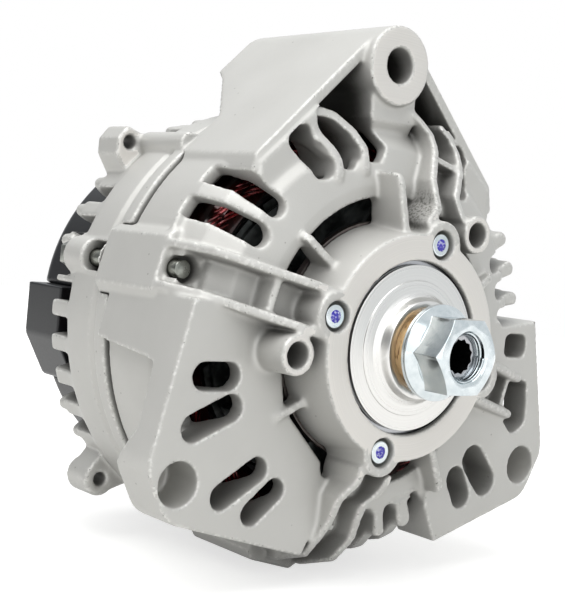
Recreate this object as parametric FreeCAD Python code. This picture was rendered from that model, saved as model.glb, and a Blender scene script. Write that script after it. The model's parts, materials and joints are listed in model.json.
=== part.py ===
import FreeCAD, Part
import math
import os

# Belt-driven vehicle alternator, in millimetres.
# The shaft lies along Y with the drive end towards -Y, Z is up towards the mounting eye,
# and the origin is on the shaft axis at the machined front face of the bearing hub.
# Angles are clockwise from straight up, seen from the drive end.

Vector = FreeCAD.Vector
ORIGIN = Vector(0, 0, 0)
AXIS = Vector(0, 1, 0)

# Fits shared by several pieces
SEAT = 0.02             # radial play of a piece seated in or on its neighbour
RUNNING = 0.3           # play between a turning piece and what it passes
OVERCUT = 1.0           # how far a cutter reaches past the face that it opens

# Stator core, on which both housings are clamped
CORE_R = 73.3
CORE_FRONT_Y = 52.0
CORE_LENGTH = 36.0
YOKE_WALL = 6.1         # iron left between a slot and the outside
SLOT_COUNT = 36
SLOT_DEPTH = 14.0
CORE_BORE = CORE_R - YOKE_WALL - SLOT_DEPTH
SLOT_WIDTH = 4.6

# Drive-end housing: shell and annulus
REGISTER_WALL = 5.2     # wall of the castings round the core
SHELL_R = CORE_R + REGISTER_WALL
SHELL_WALL = 5.0
RIM_Y = 64.0            # rear rim of the drive-end housing
ANNULUS_Y = 15.5        # flat front face round the hub
ANNULUS_WALL = 5.0
ANNULUS_BORE = SHELL_R - 29.0   # inner edge of the annulus
DOME = 24.5             # how far the slope from annulus to shell reaches, in radius and along the shaft
LEDGE_WIDTH = 3.0       # inner ledge that the stator core stands against
LEDGE_LENGTH = 4.0

# Drive-end housing: hub
HUB_R = 38.0
HUB_DRAFT = 2.5         # how much wider the hub is at its root
LIP_BORE = 29.0
LIP_LENGTH = 3.0

# Sealed ball bearings: drive end 25 x 62 x 17, collector end 17 x 47 x 14
FRONT_BORE = 12.5
FRONT_OUTER = 31.0
FRONT_WIDTH = 17.0
REAR_BORE = 8.5
REAR_OUTER = 23.5
REAR_WIDTH = 14.0
RACE_WALL = 3.5
SEAL_WALL = 0.8
SEAL_INSET = 0.6

# Bearing retainer and its screws
RETAINER_WALL = 2.5
RETAINER_R = 41.0
RETAINER_BORE = 25.0
SCREW_CIRCLE = 36.0
SCREW_ANGLES = (15, 105, 195, 285)
SCREW_R = 2.5
SCREW_HEAD_R = 3.9
SCREW_HEAD = 2.6
SCREW_RECESS = 4.0      # depth of the head's seat below the hub face
SCREW_TIP = 2.0         # how far a screw stands out behind the retainer
COUNTERBORE_R = 5.0
LOBE_R = 8.2

# Channels that carry the through-bolts out from the hub
CHANNEL_HALF = 7.0
CHANNEL_RIB = 3.0
WEB_WALL = 2.5
ROUND_RIB = 3.6         # ribs of the channel in the right pad
ROUND_RIB_ANGLE = 105
BOLT_CIRCLE = CORE_R + 1.7      # the bolts run in grooves of the core
BOLT_R = 3.0
BOLT_SEAT_Y = 37.0
BOLT_STEP_R = BOLT_CIRCLE - 4.5 # where the channel floor steps down to the bolt
COLUMN_R = 6.5          # column round the bolt inside the shell
BOLT_FLARE = 1.6        # gap round the bolt's end inside the cup
BOLT_PROUD = 4.0        # how far a bolt's end stands out of its thread
CUP_Y = 30.0            # front face of the cup round the bolt's end
BOLT_HEAD_FLATS = 10.0
BOLT_HEAD = 5.0
BOSS_HALF = 12.0        # half the width of the flat boss outside the shell
BOSS_OUT = SHELL_R + 3.0
LOW_BOSS_ANGLE = 195    # the lowest boss stands further out, and the alternator rests on it
LOW_BOSS_OUT = SHELL_R + 4.8
BOSS_REAR_Y = 72.0

# Top mounting eye and the roof that carries it
EYE_Z = SHELL_R + 15.5
EYE_R = 13.6
EYE_BORE = 6.0
EYE_FRONT_Y = 19.5
EYE_REAR_Y = 95.0
BUSH_PROUD = 4.0
BUSH_WALL = 3.0
BUSH_LENGTH = 14.0
ROOF_WALL = 3.8
ROOF_FRONT_Y = 23.5
ROOF_REAR_Y = 66.0
ROOF_FOOT_X = SHELL_R - 23.5    # where the slanting wall turns down
ROOF_FOOT_WALL = 4.0
WEB_FRONT_Y = 22.0      # front of the webs below the walls, and of the neck
NECK_X = (-9.1, 11.2)
NECK_Z = EYE_Z - 19.0   # lower edge of the neck's front

# Air slots of the drive-end housing, and the fins between them
SLOT_INSET = 18.5       # how far inside the shell's radius a slot begins
AIR_SLOT = 6.5
RIGHT_SLOTS = (62.0, 71.5, 80.5)
BOTTOM_SLOTS = (156.2, 167.5, 177.6)
FIN_WIDTH = 6.2
FIN_REAR_Y = 38.0
# Fins between the slots: angle, distances of both ends inside the shell's radius, front
FINS = (
    (57.3, 14.0, 6.0, 20.5),
    (66.8, 14.0, 6.0, 20.5),
    (76.0, 14.0, 6.0, 20.5),
    (161.9, 24.0, 13.0, 16.2),
    (172.5, 24.0, 13.0, 16.2),
)

# Lines on the drive-end housing, as points (distance inside the shell's radius, angle, corner radius)
POCKET_RIB = 3.3
POCKET_RIBS = (
    [(-5.3, -25.0), (0.0, -25.5), (5.0, -25.2), (10.1, -23.8), (14.7, -23.4), (18.7, -25.4)],
    [(-3.1, -24.2), (-1.4, -20.7), (0.9, -17.7), (6.6, -14.3), (12.3, -12.5), (19.3, -13.9)],
)
ROOF_OPENINGS = (
    [(1.0, -35.3, 3.0), (-1.0, -29.5, 2.5), (0.5, -26.8, 2.0), (5.5, -27.1, 5.0),
     (15.2, -24.5, 3.0), (18.5, -28.0, 1.5), (16.9, -32.6, 2.0), (8.8, -33.1, 8.0)],
    [(-3.6, -23.4), (1.6, -24.5, 4.0), (11.9, -21.5, 3.0), (17.0, -22.6, 1.5), (19.0, -18.1, 1.5),
     (16.1, -15.8), (17.8, -6.5, 2.0), (12.8, -3.0, 2.0), (2.0, -6.8), (-3.0, -6.4), (-6.4, -17.5)],
    [(1.0, 24.3, 1.5), (-1.4, 27.6, 2.0), (1.0, 31.6, 2.5), (5.7, 31.6, 3.0),
     (8.6, 35.3, 3.0), (14.6, 35.8, 2.0), (17.8, 32.1, 2.0), (10.5, 28.0)],
)
ROOF_WEBS = (
    [(-4.7, -22.2), (1.1, -44.2), (7.0, -51.0), (19.1, -46.4), (18.6, -33.4)],
    [(-3.1, 20.4), (0.7, 44.0), (4.6, 45.6), (6.7, 49.0), (9.5, 49.8), (19.1, 46.4), (18.5, 30.0)],
)
CURVED_RIBS = {
    15: ([(36.8, 5.0), (30.2, 10.7), (21.6, 10.1), (9.3, 12.7), (4.3, 12.4), (0.8, 9.6), (-3.9, 5.3)],
         [(28.9, 26.3), (23.1, 22.3), (12.7, 24.2), (4.9, 23.5), (1.0, 21.2), (-1.3, 18.3)]),
    195: ([(35.2, -158.3), (30.4, -160.4), (23.7, -158.9), (15.2, -161.8), (5.4, -162.1), (-1.5, -163.0)],
          [(34.3, -175.6), (28.4, -173.9), (23.8, -170.5), (18.4, -171.8), (12.1, -173.6), (-1.5, -171.5)]),
}
PAD_POCKET = [(10.6, 101.5, 1.5), (-0.2, 99.9, 3.5), (-3.5, 105.6, 3.0),
              (-5.8, 110.5, 4.0), (-0.9, 115.0, 3.5), (6.3, 112.8, 1.5)]
ARROW = [(21.4, 168.4), (19.3, 163.1), (20.6, 163.2), (19.8, 156.6),
         (21.7, 156.3), (22.5, 163.2), (23.5, 164.4)]

# Vanes between hub and annulus: angle, outer radius, front
VANES = (
    (-50.0, ANNULUS_BORE + 3.5, 9.0),
    (-8.0, ANNULUS_BORE + 8.5, 2.5),
    (-120.0, ANNULUS_BORE + 3.5, 12.0),
    (150.0, ANNULUS_BORE + 10.5, 5.5),
    (62.0, ANNULUS_BORE + 5.5, 8.0),
)

# Corner pads
PAD_REAR = ((28.5, -9.0), (27.0, -29.0), (34.5, -41.0))     # rear edge: along the shaft, height
PAD_REAR_TOP = -5.5     # height at which that edge runs out to the rear rim
PAD_HOLE_R = 7.1
PAD_HOLE_X = SHELL_R + 0.5
PAD_HOLE_Z = -45.2
PAD_HOLE_DEPTH = 16.0
PAD_SLOT_DEPTH = 15.0
LEFT_FOOT_X = 27.0      # lower inner corner of each pad
RIGHT_FOOT_X = 35.5

# Tapped stud bosses beside the hub windows
STUD_CIRCLE = ANNULUS_BORE - 1.45
STUD_ANGLES = (-94.0, 34.8)
STUD_R = 6.6
STUD_HOLE_R = 4.25
STUD_FRONT_Y = 1.7

# Stator winding
TURN_HEIGHT = 13.0      # how far the coil ends stand out of the core
TURN_INNER = CORE_BORE + 3.3
TURN_OUTER = CORE_R - 4.3
WIRE_PLAY = 0.2

# Rotor
AIR_GAP = 0.4
CLAWS = 6
DISC_WALL = 9.0
DISC_R = 36.0
POLE_OVERHANG = 5.0     # how far a claw pole stands out past the stator core
POLE_CORE_R = 27.0
CLAW_WALL = 7.5
CLAW_BASE = 27.0
CLAW_TIP = 11.0
FAN_WALL = 1.5
FRONT_FAN_HEIGHT = 14.0
REAR_FAN_HEIGHT = 9.5
FAN_STEP = 2.3          # how much smaller the fans are than the rotor
FAN_R = CORE_BORE - AIR_GAP - FAN_STEP
FAN_ROOT_R = 31.0
FAN_BLADES = 11
COIL_GAP = 2.3          # room between the field coil and the claws
COIL_R = CORE_BORE - AIR_GAP - CLAW_WALL - COIL_GAP
BOBBIN_WALL = 1.2
SHAFT_BODY_R = 13.5
SHAFT_END_Y = 129.5
RING_R = 9.5            # slip rings
RING_WALL = 1.5
RING_WIDTH = 4.6
RING_PITCH = 6.2
RING_Y = 117.6

# Pulley seat
SPACER_R = 27.7
SPACER_FRONT_Y = 0.7
COLLAR_R = 16.2
COLLAR_Y = -5.0
COLLAR_RECESS_R = 14.0
COLLAR_RECESS = 2.0
SLEEVE_R = 11.5
PULLEY_SEAT_R = 8.5
THREAD_R = 8.0
NUT_FRONT_Y = -24.5
NUT_REAR_Y = -10.0
NUT_FLANGE_R = 15.8
NUT_FLANGE = 4.2
NUT_FLATS = 24.0
NUT_FACE_R = 11.8
NUT_MOUTH_R = 8.8
SHAFT_RECESS = 4.0      # how far the shaft ends inside the nut
SOCKET_R = 4.8
SOCKET_DEPTH = 14.0
SOCKET_POINTS = 12

# Collector-end housing
GAP = 2.0               # visible slit between the two housings
BAND_R = SHELL_R + 0.8  # raised band round the front rim
BAND_LENGTH = 6.0
GROOVE_WALL = 1.2       # depth of the groove behind the band
GROOVE_LENGTH = 3.5
REAR_SLOPE_Y = 90.0
REAR_PLATE_Y = 105.0
REAR_PLATE_WALL = 4.0
REAR_EDGE_R = SHELL_R - 11.5
REAR_HUB_WALL = 4.5
REAR_LIP = 2.0
REAR_LIP_BORE = 17.0
OUTLET_COUNT = 38
OUTLET_WIDTH = 6.5
OUTLET_Y = 93.0
FIN_STEP = 2.0          # how far inside the shell's radius the fins' tips lie
INLET_COUNT = 10
INLET_WIDTH = 8.0
EAR_X = SHELL_R - 21.5
EAR_Z = SHELL_R - 17.5
EAR_FRONT_Y = 95.0
EAR_REAR_Y = 109.0
LEFT_EAR_R = 6.3        # lower ears
RIGHT_EAR_R = 8.5
EAR_HOLE_R = 2.5
EAR_BAR_R = 4.7         # round bar along the shell in front of an upper ear
EAR_BAR_X = EAR_X - 8.0
BOLT_WINDOW = (10.5, 11.0)      # width and length of the windows that show the bolts
REAR_BOSS_R = 7.0
REAR_BOSS_Y = 97.0

# Rear cover and what it hides
COVER_R = REAR_EDGE_R - 1.0
COVER_WALL = 2.5
COVER_REAR_Y = 137.0
COVER_EDGE = 6.0
VENT_INNER = 28.0
VENT_WIDTH = 4.0
VENT_PITCH = 15
POST_CIRCLE = COVER_R - 12.0
POST_ANGLES = (40, 215, 328)
POST_R = 4.0
COVER_SCREW_R = 2.0
COVER_SCREW_DEPTH = 10.0
COVER_SCREW_FLATS = 7.0
COVER_SCREW_HEAD = 3.0
SINK_WALL = 3.0
SINK_INNER = 31.0
SINK_OUTER = COVER_R - 6.0
SINK_ANGLES = (58, 198)
SINK_GAP = 7.0
DIODE_CIRCLE = SINK_OUTER - 14.0
DIODE_R = 6.2
DIODE_LENGTH = 5.0
NEGATIVE_ANGLES = (75, 113, 151)
POSITIVE_ANGLES = (94, 132, 170)
SPACER_POST_R = 3.5
SPACER_CIRCLE = SINK_OUTER - 6.0
SPACER_ANGLES = (66, 122, 190)
TERMINAL_R = 4.0
TERMINAL_PROUD = 14.0
TERMINAL_RELIEF_R = 3.5 # runout of the thread under the nut's outer end
TERMINAL_RELIEF = 1.3
TERMINAL_NUT_FLATS = 13.0
TERMINAL_NUT = 6.5
TERMINAL_ANGLE = 122
CAPACITOR_R = 7.5
CAPACITOR_LENGTH = 18.0
CAPACITOR_ANGLE = 228
BRUSH_WIDTH = 7.0       # across the shaft
BRUSH_THICKNESS = 4.4   # along the shaft
BRUSH_LENGTH = 15.0
BRUSH_PLAY = 0.1
SPRING_R = 1.9
SPRING_WALL = 0.5
HOLDER_TOP = 44.0
HOLDER_WALL = 1.6
SOCKET_X = (-COVER_R - 6.0, -COVER_R + 9.0)
SOCKET_Z = (-28.0, 7.0)
SOCKET_REAR_Y = 133.0
SOCKET_WALL = 2.0
SOCKET_DEEP = 14.0      # depth of the plug's hollow
SOCKET_SILL = 15.0      # solid part below the hollow
REGULATOR_WIDTH = 34.0
REGULATOR_BASE = 12.0
REGULATOR_FIN = 7.0
REGULATOR_FIN_WALL = 2.0
REGULATOR_FINS = 7
PIN_SIZE = 1.6
PIN_COUNT = 3

# Places worked out from the sizes above
CORE_REAR_Y = CORE_FRONT_Y + CORE_LENGTH
SHELL_INNER = SHELL_R - SHELL_WALL
REAR_RIM_Y = RIM_Y + GAP
FRONT_BEARING_Y = LIP_LENGTH
RETAINER_Y = FRONT_BEARING_Y + FRONT_WIDTH
REAR_FACE_Y = REAR_PLATE_Y + REAR_PLATE_WALL
REAR_BEARING_Y = REAR_PLATE_Y - 5.0
REAR_LIP_Y = REAR_BEARING_Y + REAR_WIDTH
ROTOR_R = CORE_BORE - AIR_GAP
POLE_FRONT_Y = CORE_FRONT_Y - POLE_OVERHANG
POLE_REAR_Y = CORE_REAR_Y + POLE_OVERHANG
SHAFT_FRONT_Y = NUT_FRONT_Y + SHAFT_RECESS
COVER_FRONT_Y = REAR_FACE_Y + RUNNING
CAVITY_Y = ANNULUS_Y + ANNULUS_WALL
SIDE_TIP = [(SHELL_R - 2.5, 18.0), (SHELL_R + 2.5, 33.0), (SHELL_R + 2.5, CORE_FRONT_Y - 2.0)]
RIB_TIPS = {
    15: [(SHELL_R + 0.5, 20.5), (SHELL_R + 5.0, 24.0), (SHELL_R + 5.0, CORE_FRONT_Y - 2.0)],
    195: SIDE_TIP,
    285: SIDE_TIP,
}

# Cross webs of the channels: angle, distance inside the shell's radius, front, sideways offset, width
CROSS_WEBS = (
    (15, 13.5, 13.5, 3.9, 13.0),
    (105, 13.5, 13.5, 0.0, 2 * CHANNEL_HALF),
    (195, 15.5, 12.5, 1.5, 5.0),
    (285, 24.5, 9.0, 0.0, 2 * CHANNEL_HALF),
)
RING_ROOT = RING_R - 2 * RING_WALL


def polar(radius, angle):
    """X and Z of a point at a radius and a clockwise angle from straight up."""
    return radius * math.sin(math.radians(angle)), radius * math.cos(math.radians(angle))


def spin(shape, angle):
    """A copy turned clockwise about the shaft, seen from the drive end."""
    turned_copy = shape.copy()
    turned_copy.rotate(ORIGIN, AXIS, angle)
    return turned_copy


def mirrored(shape):
    """The left-right mirror image."""
    return shape.mirror(ORIGIN, Vector(1, 0, 0))


def fuse(shapes):
    """One body out of several."""
    whole = shapes[0]
    if len(shapes) > 1:
        whole = whole.multiFuse(shapes[1:])
    return whole.removeSplitter()


def rounded_wire(corners, place):
    """Closed wire through (a, b) or (a, b, radius) corners, with tangent arcs where a radius is given."""
    count = len(corners)
    points = [Vector(c[0], c[1], 0) for c in corners]
    edges = []
    ends = []
    for i, corner in enumerate(corners):
        radius = corner[2] if len(corner) > 2 else 0
        here = points[i]
        if radius <= 0:
            ends.append((here, here))
            continue
        back = (points[i - 1] - here).normalize()
        ahead = (points[(i + 1) % count] - here).normalize()
        half = back.getAngle(ahead) / 2
        reach = radius / math.tan(half)
        start = here + back * reach
        finish = here + ahead * reach
        middle_way = (back + ahead).normalize()
        middle = here + middle_way * (radius / math.sin(half) - radius)
        ends.append((start, finish))
        edges.append(Part.Arc(place(start), place(middle), place(finish)).toShape())
    for i in range(count):
        start = ends[i][1]
        finish = ends[(i + 1) % count][0]
        if start.distanceToPoint(finish) > 1e-6:
            edges.append(Part.LineSegment(place(start), place(finish)).toShape())
    return Part.Wire(Part.__sortEdges__(edges))


def prism(corners, y0, y1):
    """Outline in X and Z, extruded along the shaft from y0 to y1."""
    wire = rounded_wire(corners, lambda p: Vector(p.x, y0, p.y))
    return Part.Face(wire).extrude(Vector(0, y1 - y0, 0))


def turned(corners):
    """Outline in radius and Y, turned about the shaft."""
    wire = rounded_wire(corners, lambda p: Vector(p.x, p.y, 0))
    return Part.Face(wire).revolve(ORIGIN, AXIS, 360)


def rod(radius, y0, y1, x=0.0, z=0.0):
    """Round bar along the shaft's direction."""
    return Part.makeCylinder(radius, y1 - y0, Vector(x, y0, z), AXIS)


def ring(outer, inner, y0, y1, x=0.0, z=0.0):
    """Round bar with a bore."""
    return rod(outer, y0, y1, x, z).cut(rod(inner, y0 - OVERCUT, y1 + OVERCUT, x, z))


def slot(start, finish, width, y0, y1):
    """Round-ended slot between two points in X and Z, cut along the shaft's direction."""
    run = Vector(finish[0] - start[0], 0, finish[1] - start[1])
    along = Vector(run).normalize()
    side = Vector(along.z, 0, -along.x) * (width / 2)
    a = Vector(start[0], y0, start[1])
    b = Vector(finish[0], y0, finish[1])
    cap = along * (width / 2)
    edges = [
        Part.LineSegment(a + side, b + side).toShape(),
        Part.Arc(b + side, b + cap, b - side).toShape(),
        Part.LineSegment(b - side, a - side).toShape(),
        Part.Arc(a - side, a - cap, a + side).toShape(),
    ]
    return Part.Face(Part.Wire(edges)).extrude(Vector(0, y1 - y0, 0))


def sector(inner, outer, start, finish, y0, y1):
    """Part of a ring between two angles."""
    middle = (start + finish) / 2
    edges = []
    for radius in (inner, outer):
        ends = [polar(radius, angle) for angle in (start, middle, finish)]
        edges.append(Part.Arc(*[Vector(x, y0, z) for x, z in ends]).toShape())
    for angle in (start, finish):
        ends = [polar(radius, angle) for radius in (inner, outer)]
        edges.append(Part.LineSegment(*[Vector(x, y0, z) for x, z in ends]).toShape())
    return Part.Face(Part.Wire(Part.__sortEdges__(edges))).extrude(Vector(0, y1 - y0, 0))


def radial_plate(profile, angle, offset, thickness):
    """Flat plate along a radius, from its outline in radius and Y, at a sideways offset from that radius."""
    wire = rounded_wire(profile, lambda p: Vector(offset - thickness / 2, p.y, p.x))
    return spin(Part.Face(wire).extrude(Vector(thickness, 0, 0)), angle)


def hexagon(across_flats, y0, y1, turn=0.0):
    """Six-sided bar along the shaft's direction."""
    corner = across_flats / math.sqrt(3)
    return prism([polar(corner, turn + 60 * i) for i in range(6)], y0, y1)


def slope(inner, outer, start_y, reach):
    """Corners of a slope in three straight steps between a flat face and a cylinder."""
    corners = [(inner, start_y)]
    for angle in (0, 30, 60, 90):
        turn = math.radians(angle)
        corners.append((outer - reach + reach * math.sin(turn), start_y + reach - reach * math.cos(turn)))
    return corners


def front_cavity():
    """Room inside the drive-end housing: coil ends and fan, the core's ledge and the core's register."""
    ledge_y = CORE_FRONT_Y - LEDGE_LENGTH
    return turned(slope(0, SHELL_INNER, CAVITY_Y, DOME - SHELL_WALL) + [
        (SHELL_INNER, ledge_y),
        (SHELL_INNER - LEDGE_WIDTH, ledge_y),
        (SHELL_INNER - LEDGE_WIDTH, CORE_FRONT_Y),
        (CORE_R + SEAT, CORE_FRONT_Y),
        (CORE_R + SEAT, BOSS_REAR_Y + OVERCUT),
        (0, BOSS_REAR_Y + OVERCUT),
    ])


def rim(inset, angle):
    """X and Z of a point at a distance inside the shell's radius and a clockwise angle."""
    return polar(SHELL_R - inset, angle)


def traced(points):
    """Outline in X and Z from (inset, angle) points, each with its corner radius where it has one."""
    return [rim(p[0], p[1]) + tuple(p[2:]) for p in points]


def curved_wall(points, width, y0, y1):
    """Wall of even width with rounded ends, along a line of (inset, angle) points."""
    line = Part.makePolygon([Vector(x, y0, z) for x, z in traced(points)])
    return line.makeOffset2D(width / 2, 0, True, False).extrude(Vector(0, y1 - y0, 0))


def channel_floor():
    """Floor line of a channel in radius and Y, from the hub out to the step in front of the bolt."""
    return [
        (HUB_R - 5.0, 11.0),
        (SHELL_R - 26.5, 13.0),
        (SHELL_R - 23.5, 17.5),
        (SHELL_R - 14.5, 20.0),
        (BOLT_STEP_R, CUP_Y - 3.5),
        (BOLT_STEP_R, CUP_Y),
    ]


def rib_crest(tip):
    """Side view of a channel rib in radius and Y: its crest out to the given tip, and its root."""
    return [
        (HUB_R - 5.0, 0.8),
        (HUB_R + 8.0, 2.0),
        (SHELL_R - 21.5, 7.8),
        (SHELL_R - 9.5, 13.5),
    ] + tip + [
        (SHELL_INNER, CORE_FRONT_Y - 2.0),
        (SHELL_INNER, 38.0),
        (SHELL_R - 8.0, 30.0),
        (SHELL_R - 16.5, 23.0),
        (SHELL_R - 24.5, 20.5),
        (HUB_R - 5.0, RETAINER_Y - 1.0),
    ]


def channel_outline(angle):
    """Area between the two ribs of a channel in X and Z."""
    if angle in CURVED_RIBS:
        left, right = CURVED_RIBS[angle]
        return traced(left + right[::-1])
    half = CHANNEL_HALF
    x, z = polar(1.0, angle)
    corners = [(HUB_R - 5.0, -half), (SHELL_R + 2.5, -half), (SHELL_R + 2.5, half), (HUB_R - 5.0, half)]
    return [(r * x + side * z, r * z - side * x) for r, side in corners]


def channel_bed(angle):
    """Floor of a channel, as thick as the dome behind it."""
    back = [
        (SHELL_R - 2.5, CUP_Y),
        (SHELL_R - 2.5, 40.0),
        (SHELL_R - 16.5, 28.0),
        (HUB_R - 5.0, RETAINER_Y - 1.0),
    ]
    return prism(channel_outline(angle), 0, CORE_FRONT_Y).common(turned(channel_floor() + back))


def channel_hollow(angle):
    """Room between the two ribs of a channel, down to its floor."""
    front = [
        (SHELL_R + OVERCUT, CUP_Y),
        (SHELL_R + OVERCUT, -OVERCUT),
        (SHELL_R - 26.5, -OVERCUT),
    ]
    return prism(channel_outline(angle), -OVERCUT, CORE_FRONT_Y).common(turned(channel_floor()[1:] + front))


def channel_ribs(angle):
    """Both ribs of a channel: curved ones at the top and the bottom, round bars in the right pad."""
    if angle in CURVED_RIBS:
        crest = turned(rib_crest(RIB_TIPS[angle]))
        return [curved_wall(line, CHANNEL_RIB, 0, CORE_FRONT_Y).common(crest) for line in CURVED_RIBS[angle]]
    if angle == ROUND_RIB_ANGLE:
        return round_rib(angle, -CHANNEL_HALF) + round_rib(angle, CHANNEL_HALF)
    crest = rib_crest(RIB_TIPS[angle])
    return [radial_plate(crest, angle, side * CHANNEL_HALF, CHANNEL_RIB) for side in (-1, 1)]


def round_rib(angle, offset):
    """Straight rib with a round crest and a round end, standing in a pocket of the pad."""
    radius = ROUND_RIB / 2
    crest = [(HUB_R - 4.0, 1.5 + radius), (HUB_R + 12.0, 7.0 + radius), (BOLT_CIRCLE - 3.3, 13.0 + radius)]
    root = [(BOLT_CIRCLE - 3.3, 24.0), (SHELL_R - 16.5, 23.0), (HUB_R - 4.0, RETAINER_Y - 1.0)]
    pieces = [radial_plate(crest + root, angle, offset, ROUND_RIB)]
    points = [Vector(offset, y, r) for r, y in crest]
    for start, finish in zip(points, points[1:]):
        bar = Part.makeCylinder(radius, start.distanceToPoint(finish), start, finish - start)
        pieces.append(spin(bar, angle))
    end = points[-1]
    pieces.append(spin(Part.makeSphere(radius, end), angle))
    pieces.append(spin(rod(radius, end.y, 24.0, end.x, end.z), angle))
    return pieces


def cross_web(angle, inset, front_y, offset, width):
    """Thin wall across a channel."""
    inner = SHELL_R - inset
    profile = [
        (inner, front_y),
        (inner + WEB_WALL, front_y + 0.8),
        (inner + WEB_WALL, front_y + 10.0),
        (inner, front_y + 9.0),
    ]
    return radial_plate(profile, angle, offset, width)


def bolt_column(angle):
    """Column round the bolt inside the shell, ending in a cup in front."""
    x, z = polar(BOLT_CIRCLE, angle)
    column = rod(COLUMN_R, CUP_Y, CORE_FRONT_Y, x, z).common(rod(SHELL_R, CUP_Y, CORE_FRONT_Y))
    return column.cut(rod(TURN_OUTER + RUNNING, 0, CORE_FRONT_Y + OVERCUT))


def boss_outline(half, top):
    """Section of a flat-sided bolt boss outside the shell, with its two outer edges sloped off."""
    return [
        (-half, BOLT_CIRCLE - 9.0),
        (-half, top - 3.0),
        (3.0 - half, top),
        (half - 3.0, top),
        (half, top - 3.0),
        (half, BOLT_CIRCLE - 9.0),
    ]


def bolt_boss(angle):
    """Flat-sided boss outside the shell that a through-bolt screws into."""
    top = LOW_BOSS_OUT if angle == LOW_BOSS_ANGLE else BOSS_OUT
    return spin(prism(boss_outline(BOSS_HALF, top), BOLT_SEAT_Y, BOSS_REAR_Y), angle)


def prism_x(corners, half):
    """Outline in Y and Z, extruded to both sides of the middle plane."""
    wire = rounded_wire(corners, lambda p: Vector(-half, p.x, p.y))
    return Part.Face(wire).extrude(Vector(2 * half, 0, 0))


def roof_wall():
    """Left slanting wall from the eye down to a turned-down foot, its rear edge running up to the eye."""
    crest_x = EYE_R / math.sqrt(2)
    crest_z = EYE_Z + crest_x
    foot_z = crest_z - (ROOF_FOOT_X - crest_x)
    inward = ROOF_WALL / math.sqrt(2)
    wall = prism([
        (-crest_x, crest_z),
        (-ROOF_FOOT_X, foot_z, 3.0),
        (-ROOF_FOOT_X - 2.0, foot_z - 10.0, 1.5),
        (-ROOF_FOOT_X + ROOF_FOOT_WALL, foot_z - 11.0),
        (-ROOF_FOOT_X + ROOF_FOOT_WALL, foot_z + ROOF_FOOT_WALL - 2 * inward),
        (-crest_x + inward, crest_z - inward),
    ], ROOF_FRONT_Y, EYE_REAR_Y)
    behind = prism_x([
        (ROOF_REAR_Y, foot_z - 20.0),
        (ROOF_REAR_Y, foot_z + 14.0),
        (EYE_REAR_Y - 7.0, EYE_Z - 6.0),
        (EYE_REAR_Y + 5.0, EYE_Z),
        (EYE_REAR_Y + 5.0, foot_z - 20.0),
    ], 100.0)
    return wall.cut(behind).cut(rod(BAND_R + RUNNING, RIM_Y, EYE_REAR_Y))


def roof():
    """Both slanting walls, the flat webs below them, the eye and the neck that carries it."""
    wall = roof_wall()
    webs = [prism(traced(web), WEB_FRONT_Y, CORE_FRONT_Y - 2.0) for web in ROOF_WEBS]
    eye = rod(EYE_R, EYE_FRONT_Y, EYE_REAR_Y, 0, EYE_Z)
    neck = prism([
        (NECK_X[0], EYE_Z - 26.0),
        (NECK_X[0], EYE_Z - 18.0),
        (NECK_X[0] - 0.7, EYE_Z - 9.0),
        (NECK_X[1], EYE_Z - 9.0),
        (NECK_X[1], EYE_Z - 26.0),
    ], WEB_FRONT_Y, ROOF_REAR_Y)
    side = prism_x([
        (WEB_FRONT_Y, NECK_Z),
        (WEB_FRONT_Y, EYE_Z),
        (ROOF_REAR_Y, EYE_Z),
        (ROOF_REAR_Y, NECK_Z - 14.0),
        (CUP_Y, NECK_Z - 14.0),
        (WEB_FRONT_Y + 2.5, NECK_Z - 4.0),
    ], SHELL_R)
    return [wall, mirrored(wall), eye, neck.common(side)] + webs


def pocket_ribs():
    """Two curved ribs that stand in the openings between the left web and the neck."""
    crest = turned([
        (SHELL_R - 22.5, ANNULUS_Y),
        (SHELL_R - 17.5, ANNULUS_Y + 0.5),
        (SHELL_R - 12.5, 17.5),
        (SHELL_R - 8.5, 19.5),
        (SHELL_R - 0.5, 23.5),
        (SHELL_R + 6.0, 26.0),
        (SHELL_R + 6.0, CORE_FRONT_Y - 2.0),
        (SHELL_INNER, CORE_FRONT_Y - 2.0),
        (SHELL_INNER, 36.0),
        (SHELL_R - 22.5, 36.0),
    ])
    return [curved_wall(line, POCKET_RIB, 0, CORE_FRONT_Y).common(crest) for line in POCKET_RIBS]


def pad(foot_x):
    """Left corner pad: a thick bracket with a rounded corner, tapering into the shell towards the rear."""
    block = prism([
        (-SHELL_R - 0.5, 12.0),
        (-PAD_HOLE_X - 12.0, PAD_HOLE_Z + 5.0, 12.0),
        (-PAD_HOLE_X - 3.0, PAD_HOLE_Z - 12.0, 10.0),
        (-foot_x, PAD_HOLE_Z - 26.5),
        (7.0 - foot_x, PAD_HOLE_Z - 13.0),
        (5.0 - foot_x, PAD_HOLE_Z + 5.0),
        (-40.0, -22.0),
        (-46.0, 8.0),
    ], ANNULUS_Y, RIM_Y)
    lowest = -SHELL_R - 20.0
    behind = prism_x([
        (RIM_Y + OVERCUT, PAD_REAR_TOP),
        *PAD_REAR,
        (PAD_REAR[-1][0], lowest),
        (RIM_Y + OVERCUT, lowest),
    ], 120.0)
    return block.cut(behind)


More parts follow.
